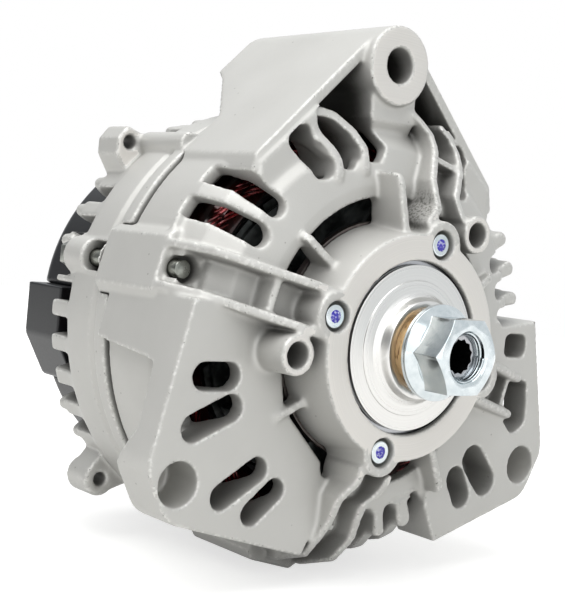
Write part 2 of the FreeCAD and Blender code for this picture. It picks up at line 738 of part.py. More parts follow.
def pad_cutters():
    """Blind corner holes and ventilation slots of both pads."""
    bottom = ANNULUS_Y + PAD_SLOT_DEPTH
    front = ANNULUS_Y - OVERCUT
    left = [
        slot((-72.5, -12.0), (-63.5, -12.0), 9.0, front, bottom),
        slot((-75.0, -28.0), (-61.5, -22.0), 9.0, front, bottom),
        slot((-62.0, -50.0), (-49.0, -42.0), 8.5, front, bottom),
        slot((-49.5, -56.0), (-41.0, -49.0), 8.0, front, bottom),
    ]
    right = [
        prism([(63.5, -4.0, 2.5), (75.0, -4.0, 2.5), (75.0, 4.5, 2.5), (63.5, 4.5, 2.5)], front, bottom),
        slot((52.5, -42.5), (59.5, -50.5), 11.0, front, bottom),
        slot((44.0, -49.0), (47.5, -55.5), 9.0, front, bottom),
    ]
    holes = [rod(PAD_HOLE_R, front, ANNULUS_Y + PAD_HOLE_DEPTH, side * PAD_HOLE_X, PAD_HOLE_Z)
             for side in (-1, 1)]
    return left + right + holes


def vane(angle, outer, front_y):
    """Thin wall across the open ring between hub and annulus, with its outer corner rounded."""
    inner = HUB_R - 2.0
    rear_y = RETAINER_Y - RUNNING
    return radial_plate([
        (inner, front_y),
        (outer, front_y + 3.0, 4.0),
        (outer, rear_y),
        (inner, rear_y),
    ], angle, 0, CHANNEL_RIB)


def dome_slot(angle, inner, width, rear_y):
    """Ventilation slot across the dome, open to the outside over its whole run."""
    return spin(slot((0, inner + width / 2), (0, SHELL_R + 20.0), width, 0, rear_y), angle)


def housing_slots():
    """Cutters for the air slots that are open over the dome's edge."""
    inner = SHELL_R - SLOT_INSET
    cutters = [
        dome_slot(-59.5, inner, 8.0, 43.0),
        dome_slot(-49.5, inner + 1.0, 7.5, 43.0),
    ]
    for angle in RIGHT_SLOTS:
        cutters.append(dome_slot(angle, inner, AIR_SLOT, CORE_FRONT_Y - 2.0))
    for angle in BOTTOM_SLOTS:
        cutters.append(dome_slot(angle, inner - 2.0, AIR_SLOT, CORE_FRONT_Y - 2.0))
    return cutters


def fin(angle, inner, outer, front_y):
    """Round-ended fin between two air slots, standing proud of the dome."""
    return slot(rim(inner, angle), rim(outer, angle), FIN_WIDTH, front_y, FIN_REAR_Y)


def drive_end_housing():
    """Front casting: hub, spokes, slotted dome, corner pads, roof and mounting eye."""
    shell = turned(slope(ANNULUS_BORE, SHELL_R, ANNULUS_Y, DOME) + [
        (SHELL_R, RIM_Y),
        (ANNULUS_BORE, RIM_Y),
    ])
    hub = turned([
        (LIP_BORE, 0),
        (HUB_R, 0),
        (HUB_R + HUB_DRAFT, RETAINER_Y),
        (LIP_BORE, RETAINER_Y),
    ])
    solids = [shell, hub, pad(LEFT_FOOT_X), mirrored(pad(RIGHT_FOOT_X))] + roof()
    hollows = [
        front_cavity(),
        rod(RETAINER_R + RUNNING, RETAINER_Y, CAVITY_Y + OVERCUT),
        prism(traced(PAD_POCKET), ANNULUS_Y - OVERCUT, ANNULUS_Y + PAD_SLOT_DEPTH),
    ]
    hollows += [prism(traced(outline), 0, CORE_FRONT_Y - 2.0) for outline in ROOF_OPENINGS]
    fillings = [vane(*sizes) for sizes in VANES]
    fillings += [cross_web(*sizes) for sizes in CROSS_WEBS]
    fillings += [fin(*sizes) for sizes in FINS] + pocket_ribs()
    fillings.append(sector(SHELL_R - 1.0, SHELL_R + 2.0, -67.0, -57.0, 38.5, 41.0))
    fillings.append(curved_wall(ARROW + ARROW[:1], 0.6, ANNULUS_Y - 0.3, ANNULUS_Y + 1.5))
    bores = [
        rod(LIP_BORE, -OVERCUT, RETAINER_Y + OVERCUT),
        rod(FRONT_OUTER + SEAT, LIP_LENGTH, RETAINER_Y + OVERCUT),
        rod(EYE_BORE, EYE_FRONT_Y - OVERCUT, EYE_REAR_Y + OVERCUT, 0, EYE_Z),
        rod(EYE_BORE + BUSH_WALL + SEAT, EYE_REAR_Y - BUSH_LENGTH, EYE_REAR_Y + OVERCUT, 0, EYE_Z),
    ]
    for angle in SCREW_ANGLES:
        solids.extend([channel_bed(angle), bolt_boss(angle)])
        hollows.append(channel_hollow(angle))
        fillings.extend(channel_ribs(angle) + [bolt_column(angle)])
        x, z = polar(SCREW_CIRCLE, angle)
        solids.append(rod(LOBE_R, 0, RETAINER_Y, x, z))
        bores.append(rod(COUNTERBORE_R, -OVERCUT, SCREW_RECESS, x, z))
        bores.append(rod(SCREW_R + SEAT, 0, RETAINER_Y + OVERCUT, x, z))
        x, z = polar(BOLT_CIRCLE, angle)
        bores.append(rod(BOLT_R + SEAT, CUP_Y - OVERCUT, BOSS_REAR_Y + OVERCUT, x, z))
        bores.append(rod(BOLT_R + BOLT_FLARE, CUP_Y - OVERCUT, BOLT_SEAT_Y, x, z))
    for angle in STUD_ANGLES:
        x, z = polar(STUD_CIRCLE, angle)
        fillings.append(rod(STUD_R, STUD_FRONT_Y, CAVITY_Y, x, z))
        bores.append(rod(STUD_HOLE_R, STUD_FRONT_Y - OVERCUT, CAVITY_Y + OVERCUT, x, z))
    body = fuse(solids).cut(hollows)
    body = fuse([body] + fillings)
    return body.cut(bores + pad_cutters() + housing_slots()).removeSplitter()


def eye_bush():
    """Steel sleeve pressed into the rear end of the mounting eye."""
    return ring(EYE_BORE + BUSH_WALL, EYE_BORE, EYE_REAR_Y - BUSH_LENGTH, EYE_REAR_Y + BUSH_PROUD, 0, EYE_Z)


def bearing(bore, outer, width, front_y):
    """Sealed ball bearing as outer race, inner race and its two seals."""
    rear_y = front_y + width
    outer_race = ring(outer, outer - RACE_WALL, front_y, rear_y)
    inner_race = ring(bore + RACE_WALL, bore, front_y, rear_y)
    seals = []
    for start in (front_y + SEAL_INSET, rear_y - SEAL_INSET - SEAL_WALL):
        seals.append(ring(outer - RACE_WALL, bore + RACE_WALL + RUNNING, start, start + SEAL_WALL))
    return outer_race, inner_race, Part.makeCompound(seals)


def bearing_retainer():
    """Plate behind the drive-end bearing, tapped for the four screws."""
    plate = ring(RETAINER_R, RETAINER_BORE, RETAINER_Y, RETAINER_Y + RETAINER_WALL)
    holes = []
    for angle in SCREW_ANGLES:
        x, z = polar(SCREW_CIRCLE, angle)
        holes.append(rod(SCREW_R + SEAT, RETAINER_Y - OVERCUT, RETAINER_Y + RETAINER_WALL + OVERCUT, x, z))
    return plate.cut(holes)


def retainer_screws():
    """Four screws from the hub face into the retainer, their heads sunk in the counterbores."""
    screws = []
    for angle in SCREW_ANGLES:
        x, z = polar(SCREW_CIRCLE, angle)
        tip_y = RETAINER_Y + RETAINER_WALL + SCREW_TIP
        shank = rod(SCREW_R, SCREW_RECESS, tip_y, x, z)
        head = rod(SCREW_HEAD_R, SCREW_RECESS - SCREW_HEAD, SCREW_RECESS, x, z)
        screws.append(shank.fuse(head))
    return Part.makeCompound(screws)


def through_bolts():
    """Four bolts that clamp the two housings on the stator core, heads at the collector end."""
    bolts = []
    for angle in SCREW_ANGLES:
        x, z = polar(BOLT_CIRCLE, angle)
        shank = rod(BOLT_R, BOLT_SEAT_Y - BOLT_PROUD, REAR_BOSS_Y, x, z)
        head = hexagon(BOLT_HEAD_FLATS, REAR_BOSS_Y, REAR_BOSS_Y + BOLT_HEAD)
        head.translate(Vector(x, 0, z))
        bolts.append(shank.fuse(head))
    return Part.makeCompound(bolts)


def stator_core():
    """Stack of laminations: slotted towards the rotor and notched outside for the through-bolts."""
    core = ring(CORE_R, CORE_BORE, CORE_FRONT_Y, CORE_REAR_Y)
    cutters = []
    for i in range(SLOT_COUNT):
        groove = Part.makeBox(SLOT_WIDTH, CORE_LENGTH + 2 * OVERCUT, SLOT_DEPTH + OVERCUT,
                              Vector(-SLOT_WIDTH / 2, CORE_FRONT_Y - OVERCUT, CORE_BORE - OVERCUT))
        cutters.append(spin(groove, 360.0 * i / SLOT_COUNT))
    for angle in SCREW_ANGLES:
        x, z = polar(BOLT_CIRCLE, angle)
        cutters.append(rod(BOLT_R + RUNNING, CORE_FRONT_Y - OVERCUT, CORE_REAR_Y + OVERCUT, x, z))
    return core.cut(cutters)


def coil_end(core_face_y, direction):
    """One ring of coil ends, sloped off towards its outer end."""
    bevel = (TURN_OUTER - TURN_INNER) / 4
    near = core_face_y + direction * OVERCUT
    shoulder = core_face_y + direction * (TURN_HEIGHT - bevel)
    far = core_face_y + direction * TURN_HEIGHT
    return turned([
        (TURN_INNER, near),
        (TURN_INNER, shoulder),
        (TURN_INNER + bevel, far),
        (TURN_OUTER - bevel, far),
        (TURN_OUTER, shoulder),
        (TURN_OUTER, near),
    ])


def stator_winding():
    """Copper bars in the core's slots, joined by a ring of coil ends on each side."""
    parts = [coil_end(CORE_FRONT_Y, -1), coil_end(CORE_REAR_Y, 1)]
    width = SLOT_WIDTH - 2 * WIRE_PLAY
    root = TURN_INNER + WIRE_PLAY
    height = CORE_BORE + SLOT_DEPTH - WIRE_PLAY - root
    for i in range(SLOT_COUNT):
        bar = Part.makeBox(width, CORE_LENGTH + 2 * OVERCUT, height,
                           Vector(-width / 2, CORE_FRONT_Y - OVERCUT, root))
        parts.append(spin(bar, 360.0 * i / SLOT_COUNT))
    return fuse(parts)


def claw_pole():
    """Drive-end half of the rotor: disc, half of the pole core and six tapering claws."""
    far_y = POLE_REAR_Y - 1.5
    middle_y = (POLE_FRONT_Y + POLE_REAR_Y) / 2
    disc = rod(DISC_R, POLE_FRONT_Y, POLE_FRONT_Y + DISC_WALL)
    core = rod(POLE_CORE_R, POLE_FRONT_Y, middle_y)
    blank = rod(ROTOR_R, POLE_FRONT_Y, POLE_FRONT_Y + DISC_WALL)
    blank = blank.fuse(ring(ROTOR_R, ROTOR_R - CLAW_WALL, POLE_FRONT_Y, far_y))
    base_y = POLE_FRONT_Y + DISC_WALL
    points = [
        Vector(-CLAW_BASE / 2, POLE_FRONT_Y, 0),
        Vector(CLAW_BASE / 2, POLE_FRONT_Y, 0),
        Vector(CLAW_BASE / 2, base_y, 0),
        Vector(CLAW_TIP / 2, far_y, 0),
        Vector(-CLAW_TIP / 2, far_y, 0),
        Vector(-CLAW_BASE / 2, base_y, 0),
    ]
    wedge = Part.Face(Part.makePolygon(points + points[:1])).extrude(Vector(0, 0, ROTOR_R + OVERCUT))
    claw = blank.common(wedge)
    claws = [spin(claw, 360.0 * i / CLAWS) for i in range(CLAWS)]
    bore = rod(SHAFT_BODY_R + SEAT, POLE_FRONT_Y - OVERCUT, POLE_REAR_Y + OVERCUT)
    return fuse([disc, core] + claws).cut(bore)


def claw_poles():
    """Both halves: the rear one is the front one turned end for end, half a pitch on."""
    front = claw_pole()
    middle_y = (POLE_FRONT_Y + POLE_REAR_Y) / 2
    rear = front.copy()
    rear.rotate(Vector(0, middle_y, 0), Vector(0, 0, 1), 180)
    return front, spin(rear, 180.0 / CLAWS)


def coil_bobbin():
    """Insulating spool on the pole core."""
    start = POLE_FRONT_Y + DISC_WALL
    finish = POLE_REAR_Y - DISC_WALL
    root = POLE_CORE_R + SEAT
    flange = COIL_R + COIL_GAP / 2
    return turned([
        (root, start),
        (flange, start),
        (flange, start + BOBBIN_WALL),
        (root + BOBBIN_WALL, start + BOBBIN_WALL),
        (root + BOBBIN_WALL, finish - BOBBIN_WALL),
        (flange, finish - BOBBIN_WALL),
        (flange, finish),
        (root, finish),
    ])


def field_coil():
    """Field winding on the bobbin."""
    start = POLE_FRONT_Y + DISC_WALL + BOBBIN_WALL
    finish = POLE_REAR_Y - DISC_WALL - BOBBIN_WALL
    return ring(COIL_R, POLE_CORE_R + SEAT + BOBBIN_WALL, start, finish)


def fan(seat_y, direction, height):
    """Sheet-steel fan: a disc on the claw pole with slanting blades standing out from it."""
    near = seat_y
    far = seat_y + direction * FAN_WALL
    tip = seat_y + direction * height
    disc = ring(FAN_R, SHAFT_BODY_R + SEAT, min(near, far), max(near, far))
    blades = []
    for i in range(FAN_BLADES):
        angle = 360.0 * i / FAN_BLADES
        inner = Vector(*polar(FAN_ROOT_R, angle - 9.0), 0)
        outer = Vector(*polar(FAN_R - 1.0, angle + 9.0), 0)
        side = (outer - inner).normalize()
        side = Vector(-side.y, side.x, 0) * (FAN_WALL / 2)
        corners = [inner - side, outer - side, outer + side, inner + side]
        blades.append(prism([(c.x, c.y) for c in corners], min(far, tip), max(far, tip)))
    return fuse([disc] + blades)


def rotor_shaft():
    """Stepped shaft: threaded end with a splined socket, pulley seat, bearing seats and rotor body."""
    shaft = turned([
        (0, SHAFT_FRONT_Y),
        (THREAD_R, SHAFT_FRONT_Y),
        (THREAD_R, NUT_REAR_Y),
        (PULLEY_SEAT_R, NUT_REAR_Y),
        (PULLEY_SEAT_R, FRONT_BEARING_Y),
        (FRONT_BORE - SEAT, FRONT_BEARING_Y),
        (FRONT_BORE - SEAT, RETAINER_Y),
        (SHAFT_BODY_R, RETAINER_Y),
        (SHAFT_BODY_R, REAR_BEARING_Y),
        (REAR_BORE - SEAT, REAR_BEARING_Y),
        (REAR_BORE - SEAT, REAR_LIP_Y),
        (RING_ROOT, REAR_LIP_Y),
        (RING_ROOT, SHAFT_END_Y),
        (0, SHAFT_END_Y),
    ])
    points = []
    for i in range(2 * SOCKET_POINTS):
        points.append(polar(SOCKET_R if i % 2 else SOCKET_R - 0.6, 180.0 * i / SOCKET_POINTS))
    return shaft.cut(prism(points, SHAFT_FRONT_Y - OVERCUT, SHAFT_FRONT_Y + SOCKET_DEPTH))


def slip_rings():
    """Two copper rings near the shaft's rear end."""
    rings = []
    for i in range(2):
        start = RING_Y + i * RING_PITCH
        rings.append(ring(RING_R, RING_R - RING_WALL, start, start + RING_WIDTH))
    return Part.makeCompound(rings)


def slip_ring_insulator():
    """Moulded sleeve between the slip rings and the shaft."""
    root = RING_ROOT + SEAT
    sleeve = ring(RING_R - RING_WALL - SEAT, root, REAR_LIP_Y, SHAFT_END_Y)
    collars = []
    for i in range(3):
        start = REAR_LIP_Y if i == 0 else RING_Y + (i - 1) * RING_PITCH + RING_WIDTH
        finish = RING_Y + i * RING_PITCH if i < 2 else SHAFT_END_Y
        collars.append(ring(RING_R - 0.3, root, start, finish))
    return fuse([sleeve] + collars)


def spacer_disc():
    """Turned thrust disc between bearing and pulley, rising in a hollow curve to a recessed collar."""
    bore = PULLEY_SEAT_R + SEAT
    return turned([
        (bore, FRONT_BEARING_Y),
        (bore, COLLAR_Y + COLLAR_RECESS),
        (COLLAR_RECESS_R, COLLAR_Y + COLLAR_RECESS),
        (COLLAR_RECESS_R, COLLAR_Y),
        (COLLAR_R, COLLAR_Y),
        (COLLAR_R + 1.0, COLLAR_Y + 3.0),
        (COLLAR_R + 2.8, COLLAR_Y + 4.6),
        (SPACER_R - 5.2, SPACER_FRONT_Y - 0.5),
        (SPACER_R - 5.2, SPACER_FRONT_Y),
        (SPACER_R, SPACER_FRONT_Y),
        (SPACER_R, FRONT_BEARING_Y - 0.4),
        (FRONT_BORE + RACE_WALL, FRONT_BEARING_Y - 0.4),
        (FRONT_BORE + RACE_WALL, FRONT_BEARING_Y),
    ])


def shaft_sleeve():
    """Plain transport sleeve that stands where the pulley goes."""
    return ring(SLEEVE_R, PULLEY_SEAT_R + SEAT, NUT_REAR_Y, COLLAR_Y + COLLAR_RECESS)


def pulley_nut():
    """Hexagon nut with a flange, its front corners chamfered and its thread mouth countersunk."""
    corner = NUT_FLATS / math.sqrt(3)
    bore = THREAD_R + SEAT
    hexagon_end = NUT_REAR_Y - NUT_FLANGE + 1.0
    barrel = hexagon(NUT_FLATS, NUT_FRONT_Y, hexagon_end, 30.0)
    chamfer = turned([
        (0, NUT_FRONT_Y),
        (NUT_FACE_R, NUT_FRONT_Y),
        (corner + 0.2, NUT_FRONT_Y + (corner + 0.2 - NUT_FACE_R) * 0.58),
        (corner + 0.2, hexagon_end),
        (0, hexagon_end),
    ])
    flange = turned([
        (0, NUT_REAR_Y - NUT_FLANGE),
        (corner - 1.2, NUT_REAR_Y - NUT_FLANGE),
        (NUT_FLANGE_R, NUT_REAR_Y - 1.8),
        (NUT_FLANGE_R, NUT_REAR_Y),
        (0, NUT_REAR_Y),
    ])
    hole = turned([
        (0, NUT_FRONT_Y - OVERCUT),
        (NUT_MOUTH_R, NUT_FRONT_Y - OVERCUT),
        (NUT_MOUTH_R, NUT_FRONT_Y),
        (bore, NUT_FRONT_Y + NUT_MOUTH_R - THREAD_R),
        (bore, NUT_REAR_Y + OVERCUT),
        (0, NUT_REAR_Y + OVERCUT),
    ])
    return barrel.common(chamfer).fuse(flange).cut(hole).removeSplitter()


def rear_cavity():
    """Room inside the collector-end housing, from the core's register back to the plate."""
    ledge_y = CORE_REAR_Y + LEDGE_LENGTH
    return turned([
        (0, REAR_RIM_Y - OVERCUT),
        (CORE_R + SEAT, REAR_RIM_Y - OVERCUT),
        (CORE_R + SEAT, CORE_REAR_Y),
        (SHELL_INNER - LEDGE_WIDTH, CORE_REAR_Y),
        (SHELL_INNER - LEDGE_WIDTH, ledge_y),
        (SHELL_INNER - 2.0, ledge_y),
        (SHELL_INNER - 2.0, REAR_SLOPE_Y + 8.0),
        (REAR_EDGE_R - 2.0, REAR_PLATE_Y),
        (0, REAR_PLATE_Y),
    ])


def upper_ear():
    """Upper right mounting ear: a flat block round its hole, with a foot on the shell."""
    return prism([
        (EAR_X + 5.2, EAR_Z - 4.6),
        (EAR_X + 5.2, EAR_Z + 1.0),
        (EAR_X + 1.3, EAR_Z + 5.9),
        (EAR_X - 5.2, EAR_Z + 3.6),
        (EAR_X - 10.7, EAR_Z - 4.8),
        (EAR_X - 10.0, EAR_Z - 16.0),
        (EAR_X - 1.5, EAR_Z - 15.0),
    ], EAR_FRONT_Y, EAR_REAR_Y)


def lower_ear(radius):
    """Lower right mounting ear: a round boss with a web to the shell."""
    boss = rod(radius, EAR_FRONT_Y, EAR_REAR_Y, EAR_X, -EAR_Z)
    web = prism([
        (EAR_X + 0.7 * radius, 0.7 * radius - EAR_Z),
        (EAR_X - 3.0, radius + 8.0 - EAR_Z),
        (EAR_X - 18.0, -EAR_Z),
        (EAR_X - 0.7 * radius, -EAR_Z - 0.7 * radius),
    ], EAR_FRONT_Y, EAR_REAR_Y - 2.0)
    return boss.fuse(web)


def outlets():
    """Air outlets between the fins of the slope, left out at the bolts and the ears."""
    ear_angle = math.degrees(math.atan2(EAR_X, EAR_Z))
    busy = list(SCREW_ANGLES) + [ear_angle, 180 - ear_angle, 180 + ear_angle, 360 - ear_angle]
    profile = [
        (REAR_EDGE_R - 1.0, OUTLET_Y),
        (SHELL_R + OVERCUT, OUTLET_Y),
        (SHELL_R + OVERCUT, REAR_FACE_Y + OVERCUT),
        (REAR_EDGE_R - 1.0, REAR_FACE_Y + OVERCUT),
    ]
    cutters = []
    for i in range(OUTLET_COUNT):
        angle = 360.0 * i / OUTLET_COUNT
        nearest = min(abs((angle - other + 180) % 360 - 180) for other in busy)
        if nearest > 8.0:
            cutters.append(radial_plate(profile, angle, 0, OUTLET_WIDTH))
    return cutters


def front_boss_room(angle):
    """Room in the collector-end shell for a bolt boss of the drive-end housing."""
    outline = boss_outline(BOSS_HALF + RUNNING, BOSS_OUT + 5.0)
    block = spin(prism(outline, REAR_RIM_Y - OVERCUT, BOSS_REAR_Y + RUNNING), angle)
    return block.cut(rod(CORE_R + SEAT, REAR_RIM_Y - OVERCUT, BOSS_REAR_Y + OVERCUT))


def bolt_window(angle):
    """Window behind a bolt boss, through which the bolt shows."""
    width, length = BOLT_WINDOW
    start = BOSS_REAR_Y + 1.5
    corners = [
        (CORE_R - OVERCUT, start),
        (BOSS_OUT + 5.0, start),
        (BOSS_OUT + 5.0, start + length),
        (CORE_R - OVERCUT, start + length),
    ]
    return radial_plate(corners, angle, 0, width)


def collector_end_housing():
    """Rear casting: banded shell, slotted slope, plate, bearing hub, four ears and the cover's posts."""
    groove_y = REAR_RIM_Y + BAND_LENGTH
    shell = turned([
        (REAR_EDGE_R - 10.0, REAR_RIM_Y),
        (BAND_R, REAR_RIM_Y),
        (BAND_R, groove_y),
        (SHELL_R - GROOVE_WALL, groove_y + GROOVE_WALL),
        (SHELL_R - GROOVE_WALL, groove_y + GROOVE_LENGTH),
        (SHELL_R, groove_y + GROOVE_LENGTH + GROOVE_WALL),
        (SHELL_R, REAR_SLOPE_Y),
        (SHELL_R - FIN_STEP, REAR_SLOPE_Y + 7.0),
        (SHELL_R - FIN_STEP, REAR_FACE_Y - 1.0, 3.0),
        (REAR_EDGE_R, REAR_FACE_Y),
        (0, REAR_FACE_Y),
        (0, REAR_PLATE_Y),
        (REAR_EDGE_R - 10.0, REAR_PLATE_Y),
    ])
    hub_front = REAR_BEARING_Y
    hub_rear = REAR_LIP_Y + REAR_LIP
    solids = [shell.cut(rear_cavity()), rod(REAR_OUTER + REAR_HUB_WALL, hub_front, hub_rear)]
    cutters = [
        rod(REAR_OUTER + SEAT, hub_front - OVERCUT, REAR_LIP_Y),
        rod(REAR_LIP_BORE, hub_front, hub_rear + OVERCUT),
    ]
    for angle in SCREW_ANGLES:
        x, z = polar(BOLT_CIRCLE, angle)
        solids.append(rod(REAR_BOSS_R, BOSS_REAR_Y + OVERCUT, REAR_BOSS_Y, x, z).cut(rear_cavity()))
        cutters.append(rod(BOLT_R + SEAT, REAR_RIM_Y - OVERCUT, REAR_BOSS_Y + OVERCUT, x, z))
        cutters.append(front_boss_room(angle))
        cutters.append(bolt_window(angle))
        cutters.append(rod(REAR_BOSS_R + OVERCUT, REAR_BOSS_Y, REAR_LIP_Y, x, z))
    clear = [rear_cavity(), rod(COVER_R + RUNNING, REAR_FACE_Y, EAR_REAR_Y + OVERCUT)]
    ear_bar = rod(EAR_BAR_R, ROOF_REAR_Y + GAP, EAR_FRONT_Y, EAR_BAR_X, EAR_Z)
    for piece in (upper_ear(), ear_bar):
        right = piece.cut(clear)
        solids.extend([right, mirrored(right)])
    solids.append(lower_ear(RIGHT_EAR_R).cut(clear))
    solids.append(mirrored(lower_ear(LEFT_EAR_R).cut(clear)))
    for side in (-1, 1):
        for top in (-1, 1):
            hole = rod(EAR_HOLE_R, EAR_FRONT_Y - OVERCUT, EAR_REAR_Y + OVERCUT, side * EAR_X, top * EAR_Z)
            cutters.append(hole)
    for angle in POST_ANGLES:
        x, z = polar(POST_CIRCLE, angle)
        solids.append(rod(POST_R, REAR_PLATE_Y, COVER_REAR_Y - COVER_WALL, x, z))
        cutters.append(rod(COVER_SCREW_R, COVER_REAR_Y - COVER_WALL - COVER_SCREW_DEPTH, COVER_REAR_Y, x, z))
    cutters.extend(outlets())
    for i in range(INLET_COUNT):
        inlet = radial_plate([
            (REAR_OUTER + REAR_HUB_WALL + 1.0, REAR_PLATE_Y - OVERCUT),
            (COVER_R - 10.0, REAR_PLATE_Y - OVERCUT),
            (COVER_R - 10.0, REAR_FACE_Y + OVERCUT),
            (REAR_OUTER + REAR_HUB_WALL + 1.0, REAR_FACE_Y + OVERCUT),
        ], 18.0 + 360.0 * i / INLET_COUNT, 0, INLET_WIDTH)
        cutters.append(inlet)
    return fuse(solids).cut(cutters).removeSplitter()


def rectifier():
    """Two heat-sink plates with three pressed-in diodes each, held apart by insulating posts."""
    start, finish = SINK_ANGLES
    low = REAR_FACE_Y
    high = low + SINK_WALL + SINK_GAP
    negative = sector(SINK_INNER, SINK_OUTER, start, finish, low, low + SINK_WALL)
    positive = sector(SINK_INNER, SINK_OUTER, start, finish, high, high + SINK_WALL)
    negative_diodes = []
    positive_diodes = []
    posts = []
    for angle in NEGATIVE_ANGLES:
        x, z = polar(DIODE_CIRCLE, angle)
        negative_diodes.append(rod(DIODE_R, low + SINK_WALL, low + SINK_WALL + DIODE_LENGTH, x, z))
    for angle in POSITIVE_ANGLES:
        x, z = polar(DIODE_CIRCLE, angle)
        positive_diodes.append(rod(DIODE_R, high - DIODE_LENGTH, high, x, z))
    for angle in SPACER_ANGLES:
        x, z = polar(SPACER_CIRCLE, angle)
        posts.append(rod(SPACER_POST_R, low + SINK_WALL, high, x, z))
    x, z = polar(SPACER_CIRCLE, TERMINAL_ANGLE)
    positive = positive.cut(rod(TERMINAL_R + SEAT, high - OVERCUT, high + SINK_WALL + OVERCUT, x, z))
    return (negative, positive, Part.makeCompound(negative_diodes), Part.makeCompound(positive_diodes),
            Part.makeCompound(posts))


def output_terminal():
    """Threaded output stud on the positive plate, with its insulating collar and nut."""
    x, z = polar(SPACER_CIRCLE, TERMINAL_ANGLE)
    plate_y = REAR_FACE_Y + SINK_WALL + SINK_GAP
    collar_y = plate_y + SINK_WALL
    outside_y = COVER_REAR_Y + COVER_WALL
    nut_end = outside_y + TERMINAL_NUT
    stud = rod(TERMINAL_R, plate_y, outside_y + TERMINAL_PROUD, x, z)
    stud = stud.cut(ring(TERMINAL_R + OVERCUT, TERMINAL_RELIEF_R, nut_end - TERMINAL_RELIEF, nut_end, x, z))
    collar = ring(TERMINAL_R + 4.0, TERMINAL_R + SEAT, collar_y, COVER_REAR_Y, x, z)
    flange = ring(TERMINAL_R + 6.0, TERMINAL_R + SEAT, COVER_REAR_Y, outside_y, x, z)
    nut = hexagon(TERMINAL_NUT_FLATS, outside_y, nut_end)
    nut.translate(Vector(x, 0, z))
    nut = nut.cut(rod(TERMINAL_R + SEAT, outside_y - OVERCUT, nut_end + OVERCUT, x, z))
    return stud, fuse([collar, flange]), nut


def capacitor():
    """Suppression capacitor standing on the rear plate."""
    x, z = polar(DIODE_CIRCLE, CAPACITOR_ANGLE)
    return rod(CAPACITOR_R, REAR_FACE_Y, REAR_FACE_Y + CAPACITOR_LENGTH, x, z)


def box(x0, x1, y0, y1, z0, z1):
    """Rectangular block between two corners."""
    return Part.makeBox(x1 - x0, y1 - y0, z1 - z0, Vector(x0, y0, z0))


def brush_middle(i):
    """Where a brush runs along the shaft: the middle of its slip ring."""
    return RING_Y + i * RING_PITCH + RING_WIDTH / 2


def brush(i):
    """Carbon brush resting on its slip ring."""
    y = brush_middle(i)
    foot = RING_R + RUNNING
    return box(-BRUSH_WIDTH / 2, BRUSH_WIDTH / 2, y - BRUSH_THICKNESS / 2, y + BRUSH_THICKNESS / 2,
               foot, foot + BRUSH_LENGTH)


def brush_spring(i):
    """Coil spring over the brush, as the closed tube that its turns fill."""
    top = HOLDER_TOP - HOLDER_WALL
    foot = RING_R + RUNNING + BRUSH_LENGTH
    tube = Part.makeCylinder(SPRING_R, top - foot, Vector(0, brush_middle(i), foot))
    bore = Part.makeCylinder(SPRING_R - SPRING_WALL, top - foot, Vector(0, brush_middle(i), foot))
    return tube.cut(bore)


def brush_holder():
    """Moulded holder with a channel for each brush, standing on two feet on the rear plate."""
    half_y = BRUSH_THICKNESS / 2 + BRUSH_PLAY
    half_x = BRUSH_WIDTH / 2 + BRUSH_PLAY
    y0 = brush_middle(0) - half_y - HOLDER_WALL / 2
    y1 = brush_middle(1) + half_y + HOLDER_WALL
    foot_z = RING_R + 3.0
    body = box(-half_x - HOLDER_WALL, half_x + HOLDER_WALL, y0, y1, foot_z, HOLDER_TOP)
    stand_z = REAR_OUTER + REAR_HUB_WALL + 1.0
    stand = box(-half_x - 7.0, half_x + 7.0, REAR_FACE_Y, y1, stand_z, HOLDER_TOP)
    channels = []
    for i in range(2):
        y = brush_middle(i)
        top = HOLDER_TOP - HOLDER_WALL
        channels.append(box(-half_x, half_x, y - half_y, y + half_y, foot_z - OVERCUT, top))
    return fuse([body, stand]).cut(channels)


def voltage_regulator():
    """Finned regulator block on the rear plate, between the brush holder and the connector."""
    inner = REAR_OUTER + REAR_HUB_WALL + 1.0
    base_y = REAR_FACE_Y + REGULATOR_BASE
    half = REGULATOR_WIDTH / 2
    pitch = (REGULATOR_WIDTH - REGULATOR_FIN_WALL) / (REGULATOR_FINS - 1)
    pieces = [box(SOCKET_X[1], -inner, REAR_FACE_Y, base_y, -half, half)]
    for i in range(REGULATOR_FINS):
        z = i * pitch - half
        pieces.append(box(SOCKET_X[1], -inner, base_y, base_y + REGULATOR_FIN, z, z + REGULATOR_FIN_WALL))
    return fuse(pieces)


def connector_socket():
    """Plug socket on the left of the cover: an open-backed box with a rounded lower corner."""
    x0, x1 = SOCKET_X
    z0, z1 = SOCKET_Z
    corners = [(x0, z1), (x0, z0 + 16.0, 3.0), (x0 + 9.0, z0, 3.0), (x1, z0), (x1, z1)]
    outside = prism(corners, REAR_FACE_Y, SOCKET_REAR_Y)
    hollow = box(x0 + SOCKET_WALL, x1 - SOCKET_WALL, SOCKET_REAR_Y - SOCKET_DEEP, SOCKET_REAR_Y + OVERCUT,
                 z0 + SOCKET_SILL, z1 - SOCKET_WALL)
    return outside.cut(hollow)


def socket_middle():
    """Centre of the plug socket's hollow in X and Z."""
    return sum(SOCKET_X) / 2, (SOCKET_Z[0] + SOCKET_SILL + SOCKET_Z[1] - SOCKET_WALL) / 2


def connector_pins():
    """Flat contact pins standing in the socket."""
    x, z = socket_middle()
    pins = []
    for i in range(PIN_COUNT):
        middle = z + (i - (PIN_COUNT - 1) / 2) * 5.0
        pins.append(box(x - PIN_SIZE / 2, x + PIN_SIZE / 2, SOCKET_REAR_Y - SOCKET_DEEP,
                        SOCKET_REAR_Y - SOCKET_DEEP / 2, middle - PIN_SIZE / 4, middle + PIN_SIZE / 4))
    return Part.makeCompound(pins)


